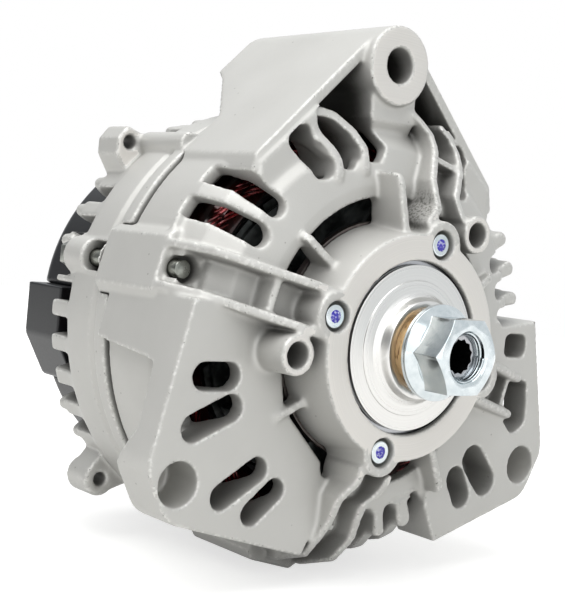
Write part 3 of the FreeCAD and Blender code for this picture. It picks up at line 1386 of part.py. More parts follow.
def rear_cover():
    """Black moulded cap over the rectifier and brushes, with air slots and a notch for the socket."""
    outside = turned([
        (0, COVER_FRONT_Y),
        (COVER_R, COVER_FRONT_Y),
        (COVER_R, COVER_REAR_Y - COVER_EDGE),
        (COVER_R - 0.3 * COVER_EDGE, COVER_REAR_Y - 0.3 * COVER_EDGE),
        (COVER_R - COVER_EDGE, COVER_REAR_Y),
        (0, COVER_REAR_Y),
    ])
    inner = COVER_R - COVER_WALL
    hollow = turned([
        (0, COVER_FRONT_Y - OVERCUT),
        (inner, COVER_FRONT_Y - OVERCUT),
        (inner, COVER_REAR_Y - COVER_EDGE),
        (COVER_R - COVER_EDGE - 1.0, COVER_REAR_Y - COVER_WALL),
        (0, COVER_REAR_Y - COVER_WALL),
    ])
    cutters = [hollow]
    through = (COVER_REAR_Y - COVER_WALL - OVERCUT, COVER_REAR_Y + OVERCUT)
    for angle in POST_ANGLES:
        x, z = polar(POST_CIRCLE, angle)
        cutters.append(rod(COVER_SCREW_R + SEAT, through[0], through[1], x, z))
    x, z = polar(SPACER_CIRCLE, TERMINAL_ANGLE)
    cutters.append(rod(TERMINAL_R + 4.0 + SEAT, COVER_REAR_Y - COVER_EDGE, COVER_REAR_Y + OVERCUT, x, z))
    profile = [
        (VENT_INNER, through[0]),
        (COVER_R - 14.0, through[0]),
        (COVER_R - 14.0, through[1]),
        (VENT_INNER, through[1]),
    ]
    for angle in range(0, 360, VENT_PITCH):
        nearest = min(abs((angle - other + 180) % 360 - 180) for other in POST_ANGLES + (TERMINAL_ANGLE,))
        if nearest > VENT_PITCH - 1:
            cutters.append(radial_plate(profile, angle, 0, VENT_WIDTH))
    cutters.append(box(SOCKET_X[0] - 5.0, SOCKET_X[1] + SEAT, COVER_FRONT_Y - OVERCUT, COVER_REAR_Y + OVERCUT,
                       SOCKET_Z[0] - SEAT, SOCKET_Z[1] + SEAT))
    return outside.cut(cutters)


def cover_screws():
    """Screws through the cover into the housing's posts."""
    screws = []
    for angle in POST_ANGLES:
        x, z = polar(POST_CIRCLE, angle)
        foot = COVER_REAR_Y - COVER_WALL - COVER_SCREW_DEPTH
        shank = rod(COVER_SCREW_R - SEAT, foot, COVER_REAR_Y, x, z)
        head = hexagon(COVER_SCREW_FLATS, COVER_REAR_Y, COVER_REAR_Y + COVER_SCREW_HEAD)
        head.translate(Vector(x, 0, z))
        screws.append(shank.fuse(head))
    return Part.makeCompound(screws)


def write(name, shape):
    """One STEP file for one piece."""
    shape.exportStep(os.path.join("parts", name + ".step"))


def main():
    os.makedirs("parts", exist_ok=True)
    write("drive_end_housing", drive_end_housing())
    write("eye_bush", eye_bush())
    outer_race, inner_race, seals = bearing(FRONT_BORE, FRONT_OUTER, FRONT_WIDTH, FRONT_BEARING_Y)
    write("front_bearing_outer_race", outer_race)
    write("front_bearing_inner_race", inner_race)
    write("front_bearing_seals", seals)
    outer_race, inner_race, seals = bearing(REAR_BORE, REAR_OUTER, REAR_WIDTH, REAR_BEARING_Y)
    write("rear_bearing_outer_race", outer_race)
    write("rear_bearing_inner_race", inner_race)
    write("rear_bearing_seals", seals)
    write("bearing_retainer", bearing_retainer())
    write("retainer_screws", retainer_screws())
    write("through_bolts", through_bolts())
    write("stator_core", stator_core())
    write("stator_winding", stator_winding())
    front, rear = claw_poles()
    write("claw_pole_front", front)
    write("claw_pole_rear", rear)
    write("coil_bobbin", coil_bobbin())
    write("field_coil", field_coil())
    write("fan_front", fan(POLE_FRONT_Y, -1, FRONT_FAN_HEIGHT))
    write("fan_rear", fan(POLE_REAR_Y, 1, REAR_FAN_HEIGHT))
    write("rotor_shaft", rotor_shaft())
    write("slip_rings", slip_rings())
    write("slip_ring_insulator", slip_ring_insulator())
    write("spacer_disc", spacer_disc())
    write("shaft_sleeve", shaft_sleeve())
    write("pulley_nut", pulley_nut())
    write("collector_end_housing", collector_end_housing())
    negative, positive, negative_diodes, positive_diodes, posts = rectifier()
    write("rectifier_negative_plate", negative)
    write("rectifier_positive_plate", positive)
    write("negative_diodes", negative_diodes)
    write("positive_diodes", positive_diodes)
    write("rectifier_spacers", posts)
    stud, collar, nut = output_terminal()
    write("output_stud", stud)
    write("output_stud_insulator", collar)
    write("output_stud_nut", nut)
    write("suppression_capacitor", capacitor())
    for i in range(2):
        write("brush_%d" % (i + 1), brush(i))
        write("brush_spring_%d" % (i + 1), brush_spring(i))
    write("brush_holder", brush_holder())
    write("voltage_regulator", voltage_regulator())
    write("connector_socket", connector_socket())
    write("connector_pins", connector_pins())
    write("rear_cover", rear_cover())
    write("cover_screws", cover_screws())


main()
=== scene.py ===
import json
import math

import bpy
from mathutils import Matrix, Vector

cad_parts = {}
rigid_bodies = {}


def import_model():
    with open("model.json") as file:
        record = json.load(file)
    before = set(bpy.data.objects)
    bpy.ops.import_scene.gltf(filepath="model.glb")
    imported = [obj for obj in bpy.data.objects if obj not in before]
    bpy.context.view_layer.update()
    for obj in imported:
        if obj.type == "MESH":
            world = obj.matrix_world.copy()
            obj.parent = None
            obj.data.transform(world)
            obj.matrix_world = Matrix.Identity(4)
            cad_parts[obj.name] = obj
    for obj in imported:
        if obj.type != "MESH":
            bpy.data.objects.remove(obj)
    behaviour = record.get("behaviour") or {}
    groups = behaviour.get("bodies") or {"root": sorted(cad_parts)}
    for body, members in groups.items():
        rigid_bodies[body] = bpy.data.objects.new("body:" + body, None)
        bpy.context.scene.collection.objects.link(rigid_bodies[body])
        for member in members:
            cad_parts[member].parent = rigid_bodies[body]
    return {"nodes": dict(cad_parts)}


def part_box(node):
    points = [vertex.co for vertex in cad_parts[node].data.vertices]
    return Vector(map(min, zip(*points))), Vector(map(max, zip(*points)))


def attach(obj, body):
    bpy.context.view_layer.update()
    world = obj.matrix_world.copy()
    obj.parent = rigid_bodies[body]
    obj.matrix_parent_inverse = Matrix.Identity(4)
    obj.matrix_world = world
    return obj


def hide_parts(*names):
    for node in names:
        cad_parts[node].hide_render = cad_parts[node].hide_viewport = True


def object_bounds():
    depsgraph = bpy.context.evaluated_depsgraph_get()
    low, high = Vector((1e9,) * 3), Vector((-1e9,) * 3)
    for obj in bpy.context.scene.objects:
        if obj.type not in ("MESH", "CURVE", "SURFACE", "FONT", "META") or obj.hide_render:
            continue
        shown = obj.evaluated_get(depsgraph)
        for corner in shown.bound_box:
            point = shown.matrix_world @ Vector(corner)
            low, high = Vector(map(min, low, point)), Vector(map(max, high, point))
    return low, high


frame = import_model()
cad_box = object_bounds()
bpy.ops.object.select_all(action="DESELECT")


# Studio: the photograph's eye point, a seamless white floor and backdrop, and broad soft lamps.
# The camera stands low to the front left, a little turned, as a hand-held product shot is.
MM = 0.001
VIEW_AZIMUTH = math.radians(-39.39)
VIEW_ELEVATION = math.radians(2.83)
VIEW_ROLL = math.radians(5.49)
VIEW_DISTANCE = 423.98 * MM
VIEW_SIDE = -44.89 * MM
VIEW_RISE = 11.81 * MM
VIEW_FOCUS = 1282.08 / 600      # focal length over the picture's height
SENSOR = 36
NEAR_CLIP = 0.01


def look(azimuth, elevation, roll):
    """The camera's right, up and backward directions, and the point that it looks at."""
    flat = math.cos(elevation)
    back = Vector((math.sin(azimuth) * flat, -math.cos(azimuth) * flat, math.sin(elevation)))
    level = Vector((math.cos(azimuth), math.sin(azimuth), 0))
    rise = back.cross(level)
    right = math.cos(roll) * level + math.sin(roll) * rise
    up = math.cos(roll) * rise - math.sin(roll) * level
    target = level * VIEW_SIDE + rise * VIEW_RISE
    return right, up, back, target


right, up, back, target = look(VIEW_AZIMUTH, VIEW_ELEVATION, VIEW_ROLL)
eye = target + back * VIEW_DISTANCE
camera_data = bpy.data.cameras.new("camera")
camera_data.sensor_width = SENSOR
camera_data.lens = SENSOR * VIEW_FOCUS
camera_data.clip_start = NEAR_CLIP
camera = bpy.data.objects.new("camera", camera_data)
turn = Matrix((right, up, back)).transposed()
camera.matrix_world = Matrix.Translation(eye) @ turn.to_4x4()
bpy.context.scene.collection.objects.link(camera)
bpy.context.scene.camera = camera
bpy.context.scene.view_settings.view_transform = "Standard"


def linear(code):
    """A hex colour as linear red, green, blue and alpha."""
    parts = [int(code[i:i + 2], 16) / 255 for i in (1, 3, 5)]
    return tuple(c / 12.92 if c <= 0.04045 else ((c + 0.055) / 1.055) ** 2.4 for c in parts) + (1,)


def add(tree, kind, links=(), preset=(), **values):
    """Adds a node: its links are (socket, source output), its presets (socket, value), the rest are its own
    fields, or named sockets where they start with a capital."""
    node = tree.nodes.new(kind)
    for name, value in values.items():
        if name[0].isupper():
            node.inputs[name.replace("_", " ")].default_value = value
        else:
            setattr(node, name, value)
    for socket, value in preset:
        node.inputs[socket].default_value = value
    for socket, source in links:
        tree.links.new(source, node.inputs[socket])
    return node


def blank(name):
    """A new material and its node tree with nothing in it."""
    material = bpy.data.materials.new(name)
    material.use_nodes = True
    tree = material.node_tree
    tree.nodes.clear()
    return material, tree


def white_to_the_eye(tree):
    """1 for camera, mirror and glass rays, and 0 for the light that falls on the object."""
    ray = add(tree, "ShaderNodeLightPath")
    seen = add(tree, "ShaderNodeMath", [
        (0, ray.outputs["Is Camera Ray"]),
        (1, ray.outputs["Is Glossy Ray"]),
    ], operation="MAXIMUM")
    both = add(tree, "ShaderNodeMath", [
        (0, seen.outputs[0]),
        (1, ray.outputs["Is Transmission Ray"]),
    ], operation="MAXIMUM")
    return both.outputs[0]


FLOOR_Z = cad_box[0][2] - 0.3 * MM
FLOOR_RADIUS = 1.6
FLOOR_SIDES = 96
PAPER = "#cbcbc9"
SHADOW_REACH = 0.25     # up to here the paper glows less, because the shadow has to show
WHITE_REACH = 0.9       # from here on the floor joins the white backdrop
SHADOW_GLOW = 0.66
WHITE_GLOW = 1.0

bpy.ops.mesh.primitive_circle_add(vertices=FLOOR_SIDES, radius=FLOOR_RADIUS, fill_type="NGON",
                                  location=(0, 0, FLOOR_Z))
floor = bpy.context.object
floor.name = "studio_floor"
paper, tree = blank("seamless_paper")
spot = add(tree, "ShaderNodeTexCoord")
reach = add(tree, "ShaderNodeVectorMath", [(0, spot.outputs["Object"])], operation="LENGTH")
glow = add(tree, "ShaderNodeMapRange", [(0, reach.outputs["Value"])],
           [(1, SHADOW_REACH), (2, WHITE_REACH), (3, SHADOW_GLOW), (4, WHITE_GLOW)])
strength = add(tree, "ShaderNodeMath", [
    (0, glow.outputs[0]),
    (1, white_to_the_eye(tree)),
], operation="MULTIPLY")
body = add(tree, "ShaderNodeBsdfDiffuse", Color=linear(PAPER))
light = add(tree, "ShaderNodeEmission", [("Strength", strength.outputs[0])], Color=(1, 1, 1, 1))
whole = add(tree, "ShaderNodeAddShader", [(0, body.outputs[0]), (1, light.outputs[0])])
add(tree, "ShaderNodeOutputMaterial", [("Surface", whole.outputs[0])])
floor.data.materials.append(paper)

BRIGHT_SIDE = (0.72, -0.42, 0.55)   # metal mirrors a room that is bright to the front right and above
ROOM_FALL = (-0.45, 0.3)            # how far along that direction the dark ends, and the bright begins
ROOM_LIGHT = (0.3, 1.0)             # its light at those two places
FILL_LIGHT = 0.5                    # the even light on everything that isn't mirrored

world = bpy.data.worlds.new("studio")
bpy.context.scene.world = world
world.use_nodes = True
sky = world.node_tree
sky.nodes.clear()
ray = add(sky, "ShaderNodeLightPath")
toward = add(sky, "ShaderNodeTexCoord")
window = add(sky, "ShaderNodeVectorMath", [(0, toward.outputs["Generated"])], [(1, BRIGHT_SIDE)],
             operation="DOT_PRODUCT")
room = add(sky, "ShaderNodeMapRange", [(0, window.outputs["Value"])],
           [(1, ROOM_FALL[0]), (2, ROOM_FALL[1]), (3, ROOM_LIGHT[0]), (4, ROOM_LIGHT[1])])
mirrored = add(sky, "ShaderNodeBackground", [("Strength", room.outputs[0])], Color=(0.95, 0.98, 1, 1))
plain = add(sky, "ShaderNodeBackground", Color=(0.98, 0.99, 1, 1), Strength=FILL_LIGHT)
white = add(sky, "ShaderNodeBackground", Color=(1, 1, 1, 1), Strength=1.0)
metal_or_plain = add(sky, "ShaderNodeMixShader", [
    (0, ray.outputs["Is Glossy Ray"]),
    (1, plain.outputs[0]),
    (2, mirrored.outputs[0]),
])
straight = add(sky, "ShaderNodeMath", [
    (0, ray.outputs["Is Camera Ray"]),
    (1, ray.outputs["Is Transmission Ray"]),
], operation="MAXIMUM")
sky_mix = add(sky, "ShaderNodeMixShader", [
    (0, straight.outputs[0]),
    (1, metal_or_plain.outputs[0]),
    (2, white.outputs[0]),
])
add(sky, "ShaderNodeOutputWorld", [("Surface", sky_mix.outputs[0])])


LAMP_AIM = Vector((0, 0.05, 0))


def soft_lamp(name, place, width, power):
    """A square soft box that hangs at a place and faces the object."""
    lamp = bpy.data.lights.new(name, "AREA")
    lamp.size = width
    lamp.energy = power
    holder = bpy.data.objects.new(name, lamp)
    direction = LAMP_AIM - Vector(place)
    holder.matrix_world = Matrix.Translation(place) @ direction.to_track_quat("-Z", "Y").to_matrix().to_4x4()
    bpy.context.scene.collection.objects.link(holder)


soft_lamp("top_box", (-0.32, -0.05, 0.9), 1.1, 9.7)
soft_lamp("front_box", (-0.55, -0.85, 0.35), 1.0, 2.9)


# Drive-end housing: one aluminium die casting, bead-blasted after its flash is trimmed off.
# Its hub face, stud bosses and eye are turned bright; everywhere else the corners stay soft.
CAST_GREY = "#bdbcb8"
CAST_LIGHT = "#c9c8c4"
CAST_WORN = "#dcdbd7"
CAST_STAIN = "#8f8d88"
CAST_SAND = "#777672"
CAST_PAINTED_SHADE = "#33322f"   # painted shade: the near-black that pockets, crevices and the roof's pocket are darkened towards
CAST_CLOUD = 22 * MM    # sizes of the patterns, from the broad clouds down to the grain of the blasting
CAST_SPECK = 7 * MM
CAST_SCUFF = 1.6 * MM
CAST_NICK = 0.9 * MM
BLAST_GRAIN = 0.5 * MM  # drawn coarser than the real grit, so that it shows
EDGE_POINT = (0.508, 0.535)             # how pointed a corner has to be before it is rubbed, and rubbed fully
SHADE_WALL_REACH = 24 * MM   # how near the walls have to stand for the painted shade to darken a surface
ROOF_SHADE_SPOT = (0, 58 * MM, 76 * MM)     # the deepest pocket, under the roof, where more shade is painted
ROOF_SHADE_SPOT_R = 40 * MM
CORNER_HOLE = (79 * MM, 0, -45.2 * MM)  # the blind hole in each pad, where the painted shade is mostly left out
CORNER_HOLE_R = 10 * MM
SAND_PATCH = (7.8 * MM, 10 * MM, 44.3 * MM)     # where the sand of the mould's repair has printed through
SAND_PATCH_R = 10 * MM
CAST_VOXEL = 0.62 * MM
CAST_PASSES = 14
CAST_LIMIT = 190000


def cast_aluminium(name):
    """Bead-blasted die casting: an even satin grey with faint clouds, small stains and rubbed edges, and
    painted shade in its pockets and crevices.
    """
    material, tree = blank(name)
    place = add(tree, "ShaderNodeTexCoord").outputs["Object"]
    clouds = add(tree, "ShaderNodeTexNoise", [("Vector", place)], Scale=1 / CAST_CLOUD, Detail=3)
    base = add(tree, "ShaderNodeMix", [(0, clouds.outputs["Fac"])],
               [(6, linear(CAST_GREY)), (7, linear(CAST_LIGHT))], data_type="RGBA")
    grain = add(tree, "ShaderNodeTexNoise", [("Vector", place)], Scale=1 / BLAST_GRAIN, Detail=2)
    shape = add(tree, "ShaderNodeNewGeometry")
    edge = add(tree, "ShaderNodeMapRange", [(0, shape.outputs["Pointiness"])],
               [(1, EDGE_POINT[0]), (2, EDGE_POINT[1])])
    scuff = add(tree, "ShaderNodeTexNoise", [("Vector", place)], Scale=1 / CAST_SCUFF, Detail=4)
    patch = add(tree, "ShaderNodeMapRange", [(0, scuff.outputs["Fac"])], [(1, 0.5), (2, 0.6)])
    worn = add(tree, "ShaderNodeMath", [(0, edge.outputs[0]), (1, patch.outputs[0])], operation="MULTIPLY")
    rubbed = add(tree, "ShaderNodeMix", [(0, worn.outputs[0]), (6, base.outputs[2])],
                 [(7, linear(CAST_WORN))], data_type="RGBA")
    spots = add(tree, "ShaderNodeTexVoronoi", [("Vector", place)], Scale=1 / CAST_SPECK)
    speck = add(tree, "ShaderNodeMapRange", [(0, spots.outputs["Distance"])],
                [(1, 0.035), (2, 0.06), (3, 0.7), (4, 0)])
    colour = add(tree, "ShaderNodeMix", [(0, speck.outputs[0]), (6, rubbed.outputs[2])],
                 [(7, linear(CAST_STAIN))], data_type="RGBA")
    nicks = add(tree, "ShaderNodeTexNoise", [("Vector", place)], Scale=1 / CAST_NICK, Detail=2)
    nick = add(tree, "ShaderNodeMapRange", [(0, nicks.outputs["Fac"])], [(1, 0.66), (2, 0.7)])
    trimmed = add(tree, "ShaderNodeMath", [(0, nick.outputs[0]), (1, edge.outputs[0])], operation="MULTIPLY")
    sandy = add(tree, "ShaderNodeVectorMath", [(0, place)], [(1, SAND_PATCH)], operation="DISTANCE")
    sand = add(tree, "ShaderNodeMapRange", [(0, sandy.outputs["Value"])],
               [(1, 0.5 * SAND_PATCH_R), (2, SAND_PATCH_R), (3, 0.9), (4, 0)])
    grit = add(tree, "ShaderNodeMapRange", [(0, nicks.outputs["Fac"])], [(1, 0.45), (2, 0.62)])
    printed = add(tree, "ShaderNodeMath", [(0, sand.outputs[0]), (1, grit.outputs[0])], operation="MULTIPLY")
    mark = add(tree, "ShaderNodeMath", [(0, trimmed.outputs[0]), (1, printed.outputs[0])],
               operation="MAXIMUM")
    marked = add(tree, "ShaderNodeMix", [(0, mark.outputs[0]), (6, colour.outputs[2])],
                 [(7, linear(CAST_SAND))], data_type="RGBA")
    # painted shade: ambient occlusion darkens the colour near walls, in pockets and crevices; it is mostly
    # left out of the pads' blind holes and is stronger under the roof
    occlusion = add(tree, "ShaderNodeAmbientOcclusion", Distance=SHADE_WALL_REACH, samples=8)
    wall_shade = add(tree, "ShaderNodeMapRange", [(0, occlusion.outputs["AO"])],
                [(1, 0.05), (2, 0.72), (3, 0.8), (4, 0)])
    half = add(tree, "ShaderNodeVectorMath", [(0, place)], operation="ABSOLUTE")
    flat = add(tree, "ShaderNodeVectorMath", [(0, half.outputs[0])], [(1, (1, 0, -1))],
               operation="MULTIPLY")
    corner = add(tree, "ShaderNodeVectorMath", [(0, flat.outputs[0])], [(1, CORNER_HOLE)],
                 operation="DISTANCE")
    hole_shade_cut = add(tree, "ShaderNodeMapRange", [(0, corner.outputs["Value"])],
                [(1, 0.8 * CORNER_HOLE_R), (2, CORNER_HOLE_R), (3, 0.12), (4, 1)])
    pocket_shade = add(tree, "ShaderNodeMath", [(0, wall_shade.outputs[0]), (1, hole_shade_cut.outputs[0])],
                 operation="MULTIPLY")
    roof = add(tree, "ShaderNodeVectorMath", [(0, place)], [(1, ROOF_SHADE_SPOT)], operation="DISTANCE")
    near = add(tree, "ShaderNodeMapRange", [(0, roof.outputs["Value"])],
               [(1, 0.6 * ROOF_SHADE_SPOT_R), (2, ROOF_SHADE_SPOT_R), (3, 1.7), (4, 0)])
    deep = add(tree, "ShaderNodeMath", [(0, pocket_shade.outputs[0]), (1, near.outputs[0])], operation="MULTIPLY")
    # skin is the amount of painted shade: the walls' share and the roof pocket's share together
    skin = add(tree, "ShaderNodeMath", [(0, pocket_shade.outputs[0]), (1, deep.outputs[0])], operation="ADD",
               use_clamp=True)
    shaded_colour = add(tree, "ShaderNodeMix", [(0, skin.outputs[0]), (6, marked.outputs[2])],
                  [(7, linear(CAST_PAINTED_SHADE))], data_type="RGBA")
    rough = add(tree, "ShaderNodeMapRange", [(0, grain.outputs["Fac"])], [(3, 0.42), (4, 0.6)])
    bump = add(tree, "ShaderNodeBump", [("Height", grain.outputs["Fac"])], Strength=0.3, Distance=0.1 * MM)
    shader = add(tree, "ShaderNodeBsdfPrincipled", [
        ("Base Color", shaded_colour.outputs[2]),
        ("Roughness", rough.outputs[0]),
        ("Normal", bump.outputs[0]),
    ], Metallic=0.35)
    add(tree, "ShaderNodeOutputMaterial", [("Surface", shader.outputs[0])])
    return material


def lathe_marks(tree, pitch):
    """Noise in rings round the shaft's axis, as a turning tool leaves them."""
    place = add(tree, "ShaderNodeTexCoord").outputs["Object"]
    flat = add(tree, "ShaderNodeVectorMath", [(0, place)], [(1, (1, 0, 1))], operation="MULTIPLY")
    radius = add(tree, "ShaderNodeVectorMath", [(0, flat.outputs[0])], operation="LENGTH")
    count = add(tree, "ShaderNodeMath", [(0, radius.outputs["Value"])], [(1, 1 / pitch)],
                operation="MULTIPLY")
    return add(tree, "ShaderNodeTexNoise", [("W", count.outputs[0])], noise_dimensions="1D",
               Scale=1, Detail=2)


def turned_metal(name, dark, light, pitch, roughness, metallic=1, anisotropy=0.0):
    """Metal turned on a lathe: bright, with fine rings that catch the light in a fan."""
    material, tree = blank(name)
    rings = lathe_marks(tree, pitch)
    colour = add(tree, "ShaderNodeMix", [(0, rings.outputs["Fac"])],
                 [(6, linear(dark)), (7, linear(light))], data_type="RGBA")
    rough = add(tree, "ShaderNodeMapRange", [(0, rings.outputs["Fac"])],
                [(3, 0.8 * roughness), (4, 1.3 * roughness)])
    bump = add(tree, "ShaderNodeBump", [("Height", rings.outputs["Fac"])], Strength=0.25, Distance=0.02 * MM)
    around = add(tree, "ShaderNodeTangent", direction_type="RADIAL", axis="Y")
    shader = add(tree, "ShaderNodeBsdfPrincipled", [
        ("Base Color", colour.outputs[2]),
        ("Roughness", rough.outputs[0]),
        ("Normal", bump.outputs[0]),
        ("Tangent", around.outputs[0]),
    ], Metallic=metallic, Anisotropic=anisotropy)
    add(tree, "ShaderNodeOutputMaterial", [("Surface", shader.outputs[0])])
    return material


def only(piece):
    """Makes one object the selected and active one."""
    bpy.ops.object.select_all(action="DESELECT")
    piece.select_set(True)
    bpy.context.view_layer.objects.active = piece


def merged_copy(node, name):
    """A copy of a machined or cast part's mesh, with its corners joined."""
    only(frame["nodes"][node])
    bpy.ops.object.duplicate()
    piece = bpy.context.object
    piece.name = name
    piece.data.name = name
    bpy.ops.object.parent_clear(type="CLEAR_KEEP_TRANSFORM")
    bpy.ops.object.mode_set(mode="EDIT")
    bpy.ops.mesh.select_all(action="SELECT")
    bpy.ops.mesh.remove_doubles(threshold=0.001 * MM)
    bpy.ops.object.mode_set(mode="OBJECT")
    return piece


def modify(piece, name, kind, **values):
    """Adds a modifier to a piece and applies it."""
    only(piece)
    modifier = piece.modifiers.new(name, kind)
    for key, value in values.items():
        setattr(modifier, key, value)
    bpy.ops.object.modifier_apply(modifier=name)


def soften(piece, voxel, passes, limit):
    """Rounds every corner of a moulded piece, then thins its mesh to a limit of triangles."""
    modify(piece, "skin", "REMESH", mode="VOXEL", voxel_size=voxel, use_smooth_shade=True)
    modify(piece, "rounding", "SMOOTH", factor=0.5, iterations=passes)
    triangles = 2 * len(piece.data.polygons)
    if triangles > limit:
        modify(piece, "thinning", "DECIMATE", ratio=limit / triangles)
    only(piece)
    bpy.ops.object.shade_smooth()


def finish_piece(piece, material, body, slot, *nodes):
    """Gives a piece its main material and its body, and hides the parts it stands for. The slot is not used.
    """
    piece.data.materials.clear()
    piece.data.materials.append(material)
    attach(piece, body)
    if nodes:
        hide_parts(*nodes)


def machine(piece, material, is_cut):
    """Gives a second material to the faces that a tool has cut. is_cut takes a face's centre, in
    millimetres, and its normal."""
    piece.data.materials.append(material)
    index = len(piece.data.materials) - 1
    for face in piece.data.polygons:
        if is_cut(face.center / MM, face.normal):
            face.material_index = index


FACES_FRONT = -0.93         # the normal's share along Y, at most, of a face that looks forward
HUB_FACE_Y = 0.35           # these are all in millimetres
HUB_FACE_R = 38
BOSS_FACE_Y = (1.3, 2.1)
EYE_FACE_Y = (19.1, 20.0)
EYE_Z = 94
EYE_R = 13.8


def turned_face(centre, normal):
    """A turned face of the drive-end housing: the hub's, a stud boss's or the eye's."""
    if normal.y > FACES_FRONT:
        return False
    out = math.hypot(centre.x, centre.z)
    on_hub = centre.y < HUB_FACE_Y and out < HUB_FACE_R
    on_boss = BOSS_FACE_Y[0] < centre.y < BOSS_FACE_Y[1] and out > HUB_FACE_R
    on_eye = EYE_FACE_Y[0] < centre.y < EYE_FACE_Y[1] and math.hypot(centre.x, centre.z - EYE_Z) < EYE_R
    return on_hub or on_boss or on_eye


casting = cast_aluminium("bead_blasted_die_cast_aluminium")
cut_casting = turned_metal("turned_cast_aluminium", "#d2cfca", "#e0ddd8", 0.4 * MM, 0.4, metallic=0.45)
drive_end = merged_copy("drive_end_housing", "drive_end_casting")
soften(drive_end, CAST_VOXEL, CAST_PASSES, CAST_LIMIT)
finish_piece(drive_end, casting, "stator", "cast_aluminium", "drive_end_housing")
machine(drive_end, cut_casting, turned_face)


# Collector-end housing: the second casting, of the same metal and finish, with fins round its rear rim.
# It is drawn up against the stator core by the four long bolts. Each fin ends in a small round lobe, and the
# front faces of both upper ears are milled.
FIN_COUNT = 38
FIN_PITCH = 360 / FIN_COUNT
FIN_FREE = 8                # degrees from a bolt or an ear to the first air outlet
WALL_ANGLES = (15, 105, 195, 285, 43, 137, 223, 317)    # the four bolts, then the four ears
PLUG_ANGLES = (246, 280)    # the plug socket stands here, and the fins stop short of it
FIN_END_SIZE = (4.8 * MM, 9 * MM, 8.6 * MM)
FIN_END_Y = 108.2 * MM
FIN_END_RADIUS = 72.2 * MM
FIN_END_ROUNDING = 2.2 * MM
REAR_PASSES = 12
EAR_X = 57                  # middle and radius of an upper ear's milled face, in millimetres
EAR_Z = 61
EAR_FACE_Y = 95
EAR_FACE_R = 9
EAR_FACE_SLACK = 0.7


def outlet_open(index):
    """Whether the casting has an air outlet at one of the evenly spaced places."""
    angle = index * FIN_PITCH
    return min(abs((angle - wall + 180) % 360 - 180) for wall in WALL_ANGLES) > FIN_FREE


def fin_end(angle):
    """The round lobe at the rear end of a fin."""
    turn = math.radians(angle)
    bpy.ops.object.select_all(action="DESELECT")
    place = (FIN_END_RADIUS * math.sin(turn), FIN_END_Y, FIN_END_RADIUS * math.cos(turn))
    bpy.ops.mesh.primitive_cube_add(size=1, location=place, rotation=(0, turn, 0))
    lobe = bpy.context.object
    lobe.scale = FIN_END_SIZE
    bpy.ops.object.transform_apply(location=True, rotation=True, scale=True)
    modify(lobe, "rounding", "BEVEL", width=FIN_END_ROUNDING, segments=3)
    return lobe


def milled_face(centre, normal):
    """The front face of an upper ear, round its threaded hole."""
    if normal.y > FACES_FRONT or abs(centre.y - EAR_FACE_Y) > EAR_FACE_SLACK:
        return False
    return math.hypot(abs(centre.x) - EAR_X, centre.z - EAR_Z) < EAR_FACE_R


collector_end = merged_copy("collector_end_housing", "collector_end_casting")
fin_ends = []
for index in range(FIN_COUNT):
    middle = (index + 0.5) * FIN_PITCH
    beside_plug = PLUG_ANGLES[0] < middle < PLUG_ANGLES[1]
    if not beside_plug and (outlet_open(index) or outlet_open(index + 1)):
        fin_ends.append(fin_end(middle))
only(collector_end)
for lobe in fin_ends:
    lobe.select_set(True)
bpy.ops.object.join()
soften(collector_end, CAST_VOXEL, REAR_PASSES, CAST_LIMIT)
finish_piece(collector_end, casting, "stator", "cast_aluminium", "collector_end_housing")
machine(collector_end, cut_casting, milled_face)


# Small steel pieces that stay as they come from the machine: the bearing races and the brush springs.
# Ground steel gives a darker, tighter shine than zinc.
def dress(nodes, material):
    """Puts one material on machined parts whose shape is already right."""
    for node in nodes:
        piece = frame["nodes"][node]
        piece.data.materials.clear()
        piece.data.materials.append(material)


ground_steel = turned_metal("ground_bearing_steel", "#9b9ca0", "#b9babd", 0.3 * MM, 0.22)
dress(["front_bearing_outer_race", "front_bearing_inner_race", "rear_bearing_outer_race",
       "rear_bearing_inner_race", "brush_spring_1", "brush_spring_2"], ground_steel)


# Bearing seals: rings of black nitrile rubber on steel inserts, pressed into both sides of a bearing.
# Moulded rubber is matt and takes a faint grey bloom.
def moulded_black(name, dark, light, roughness, grain, depth):
    """Moulded black rubber or plastic: an even tone, a fine eroded-mould grain and a soft sheen."""
    material, tree = blank(name)
    place = add(tree, "ShaderNodeTexCoord").outputs["Object"]
    bloom = add(tree, "ShaderNodeTexNoise", [("Vector", place)], Scale=1 / (15 * MM), Detail=3)
    colour = add(tree, "ShaderNodeMix", [(0, bloom.outputs["Fac"])],
                 [(6, linear(dark)), (7, linear(light))], data_type="RGBA")
    skin = add(tree, "ShaderNodeTexNoise", [("Vector", place)], Scale=1 / grain, Detail=2)
    rough = add(tree, "ShaderNodeMapRange", [(0, skin.outputs["Fac"])],
                [(3, roughness - 0.06), (4, roughness + 0.08)])
    bump = add(tree, "ShaderNodeBump", [("Height", skin.outputs["Fac"])], Strength=0.2, Distance=depth)
    shader = add(tree, "ShaderNodeBsdfPrincipled", [
        ("Base Color", colour.outputs[2]),
        ("Roughness", rough.outputs[0]),
        ("Normal", bump.outputs[0]),
    ], IOR=1.5)
    add(tree, "ShaderNodeOutputMaterial", [("Surface", shader.outputs[0])])
    return material


nitrile = moulded_black("nitrile_rubber", "#101011", "#1b1b1d", 0.6, 0.4 * MM, 0.03 * MM)
dress(["front_bearing_seals", "rear_bearing_seals"], nitrile)


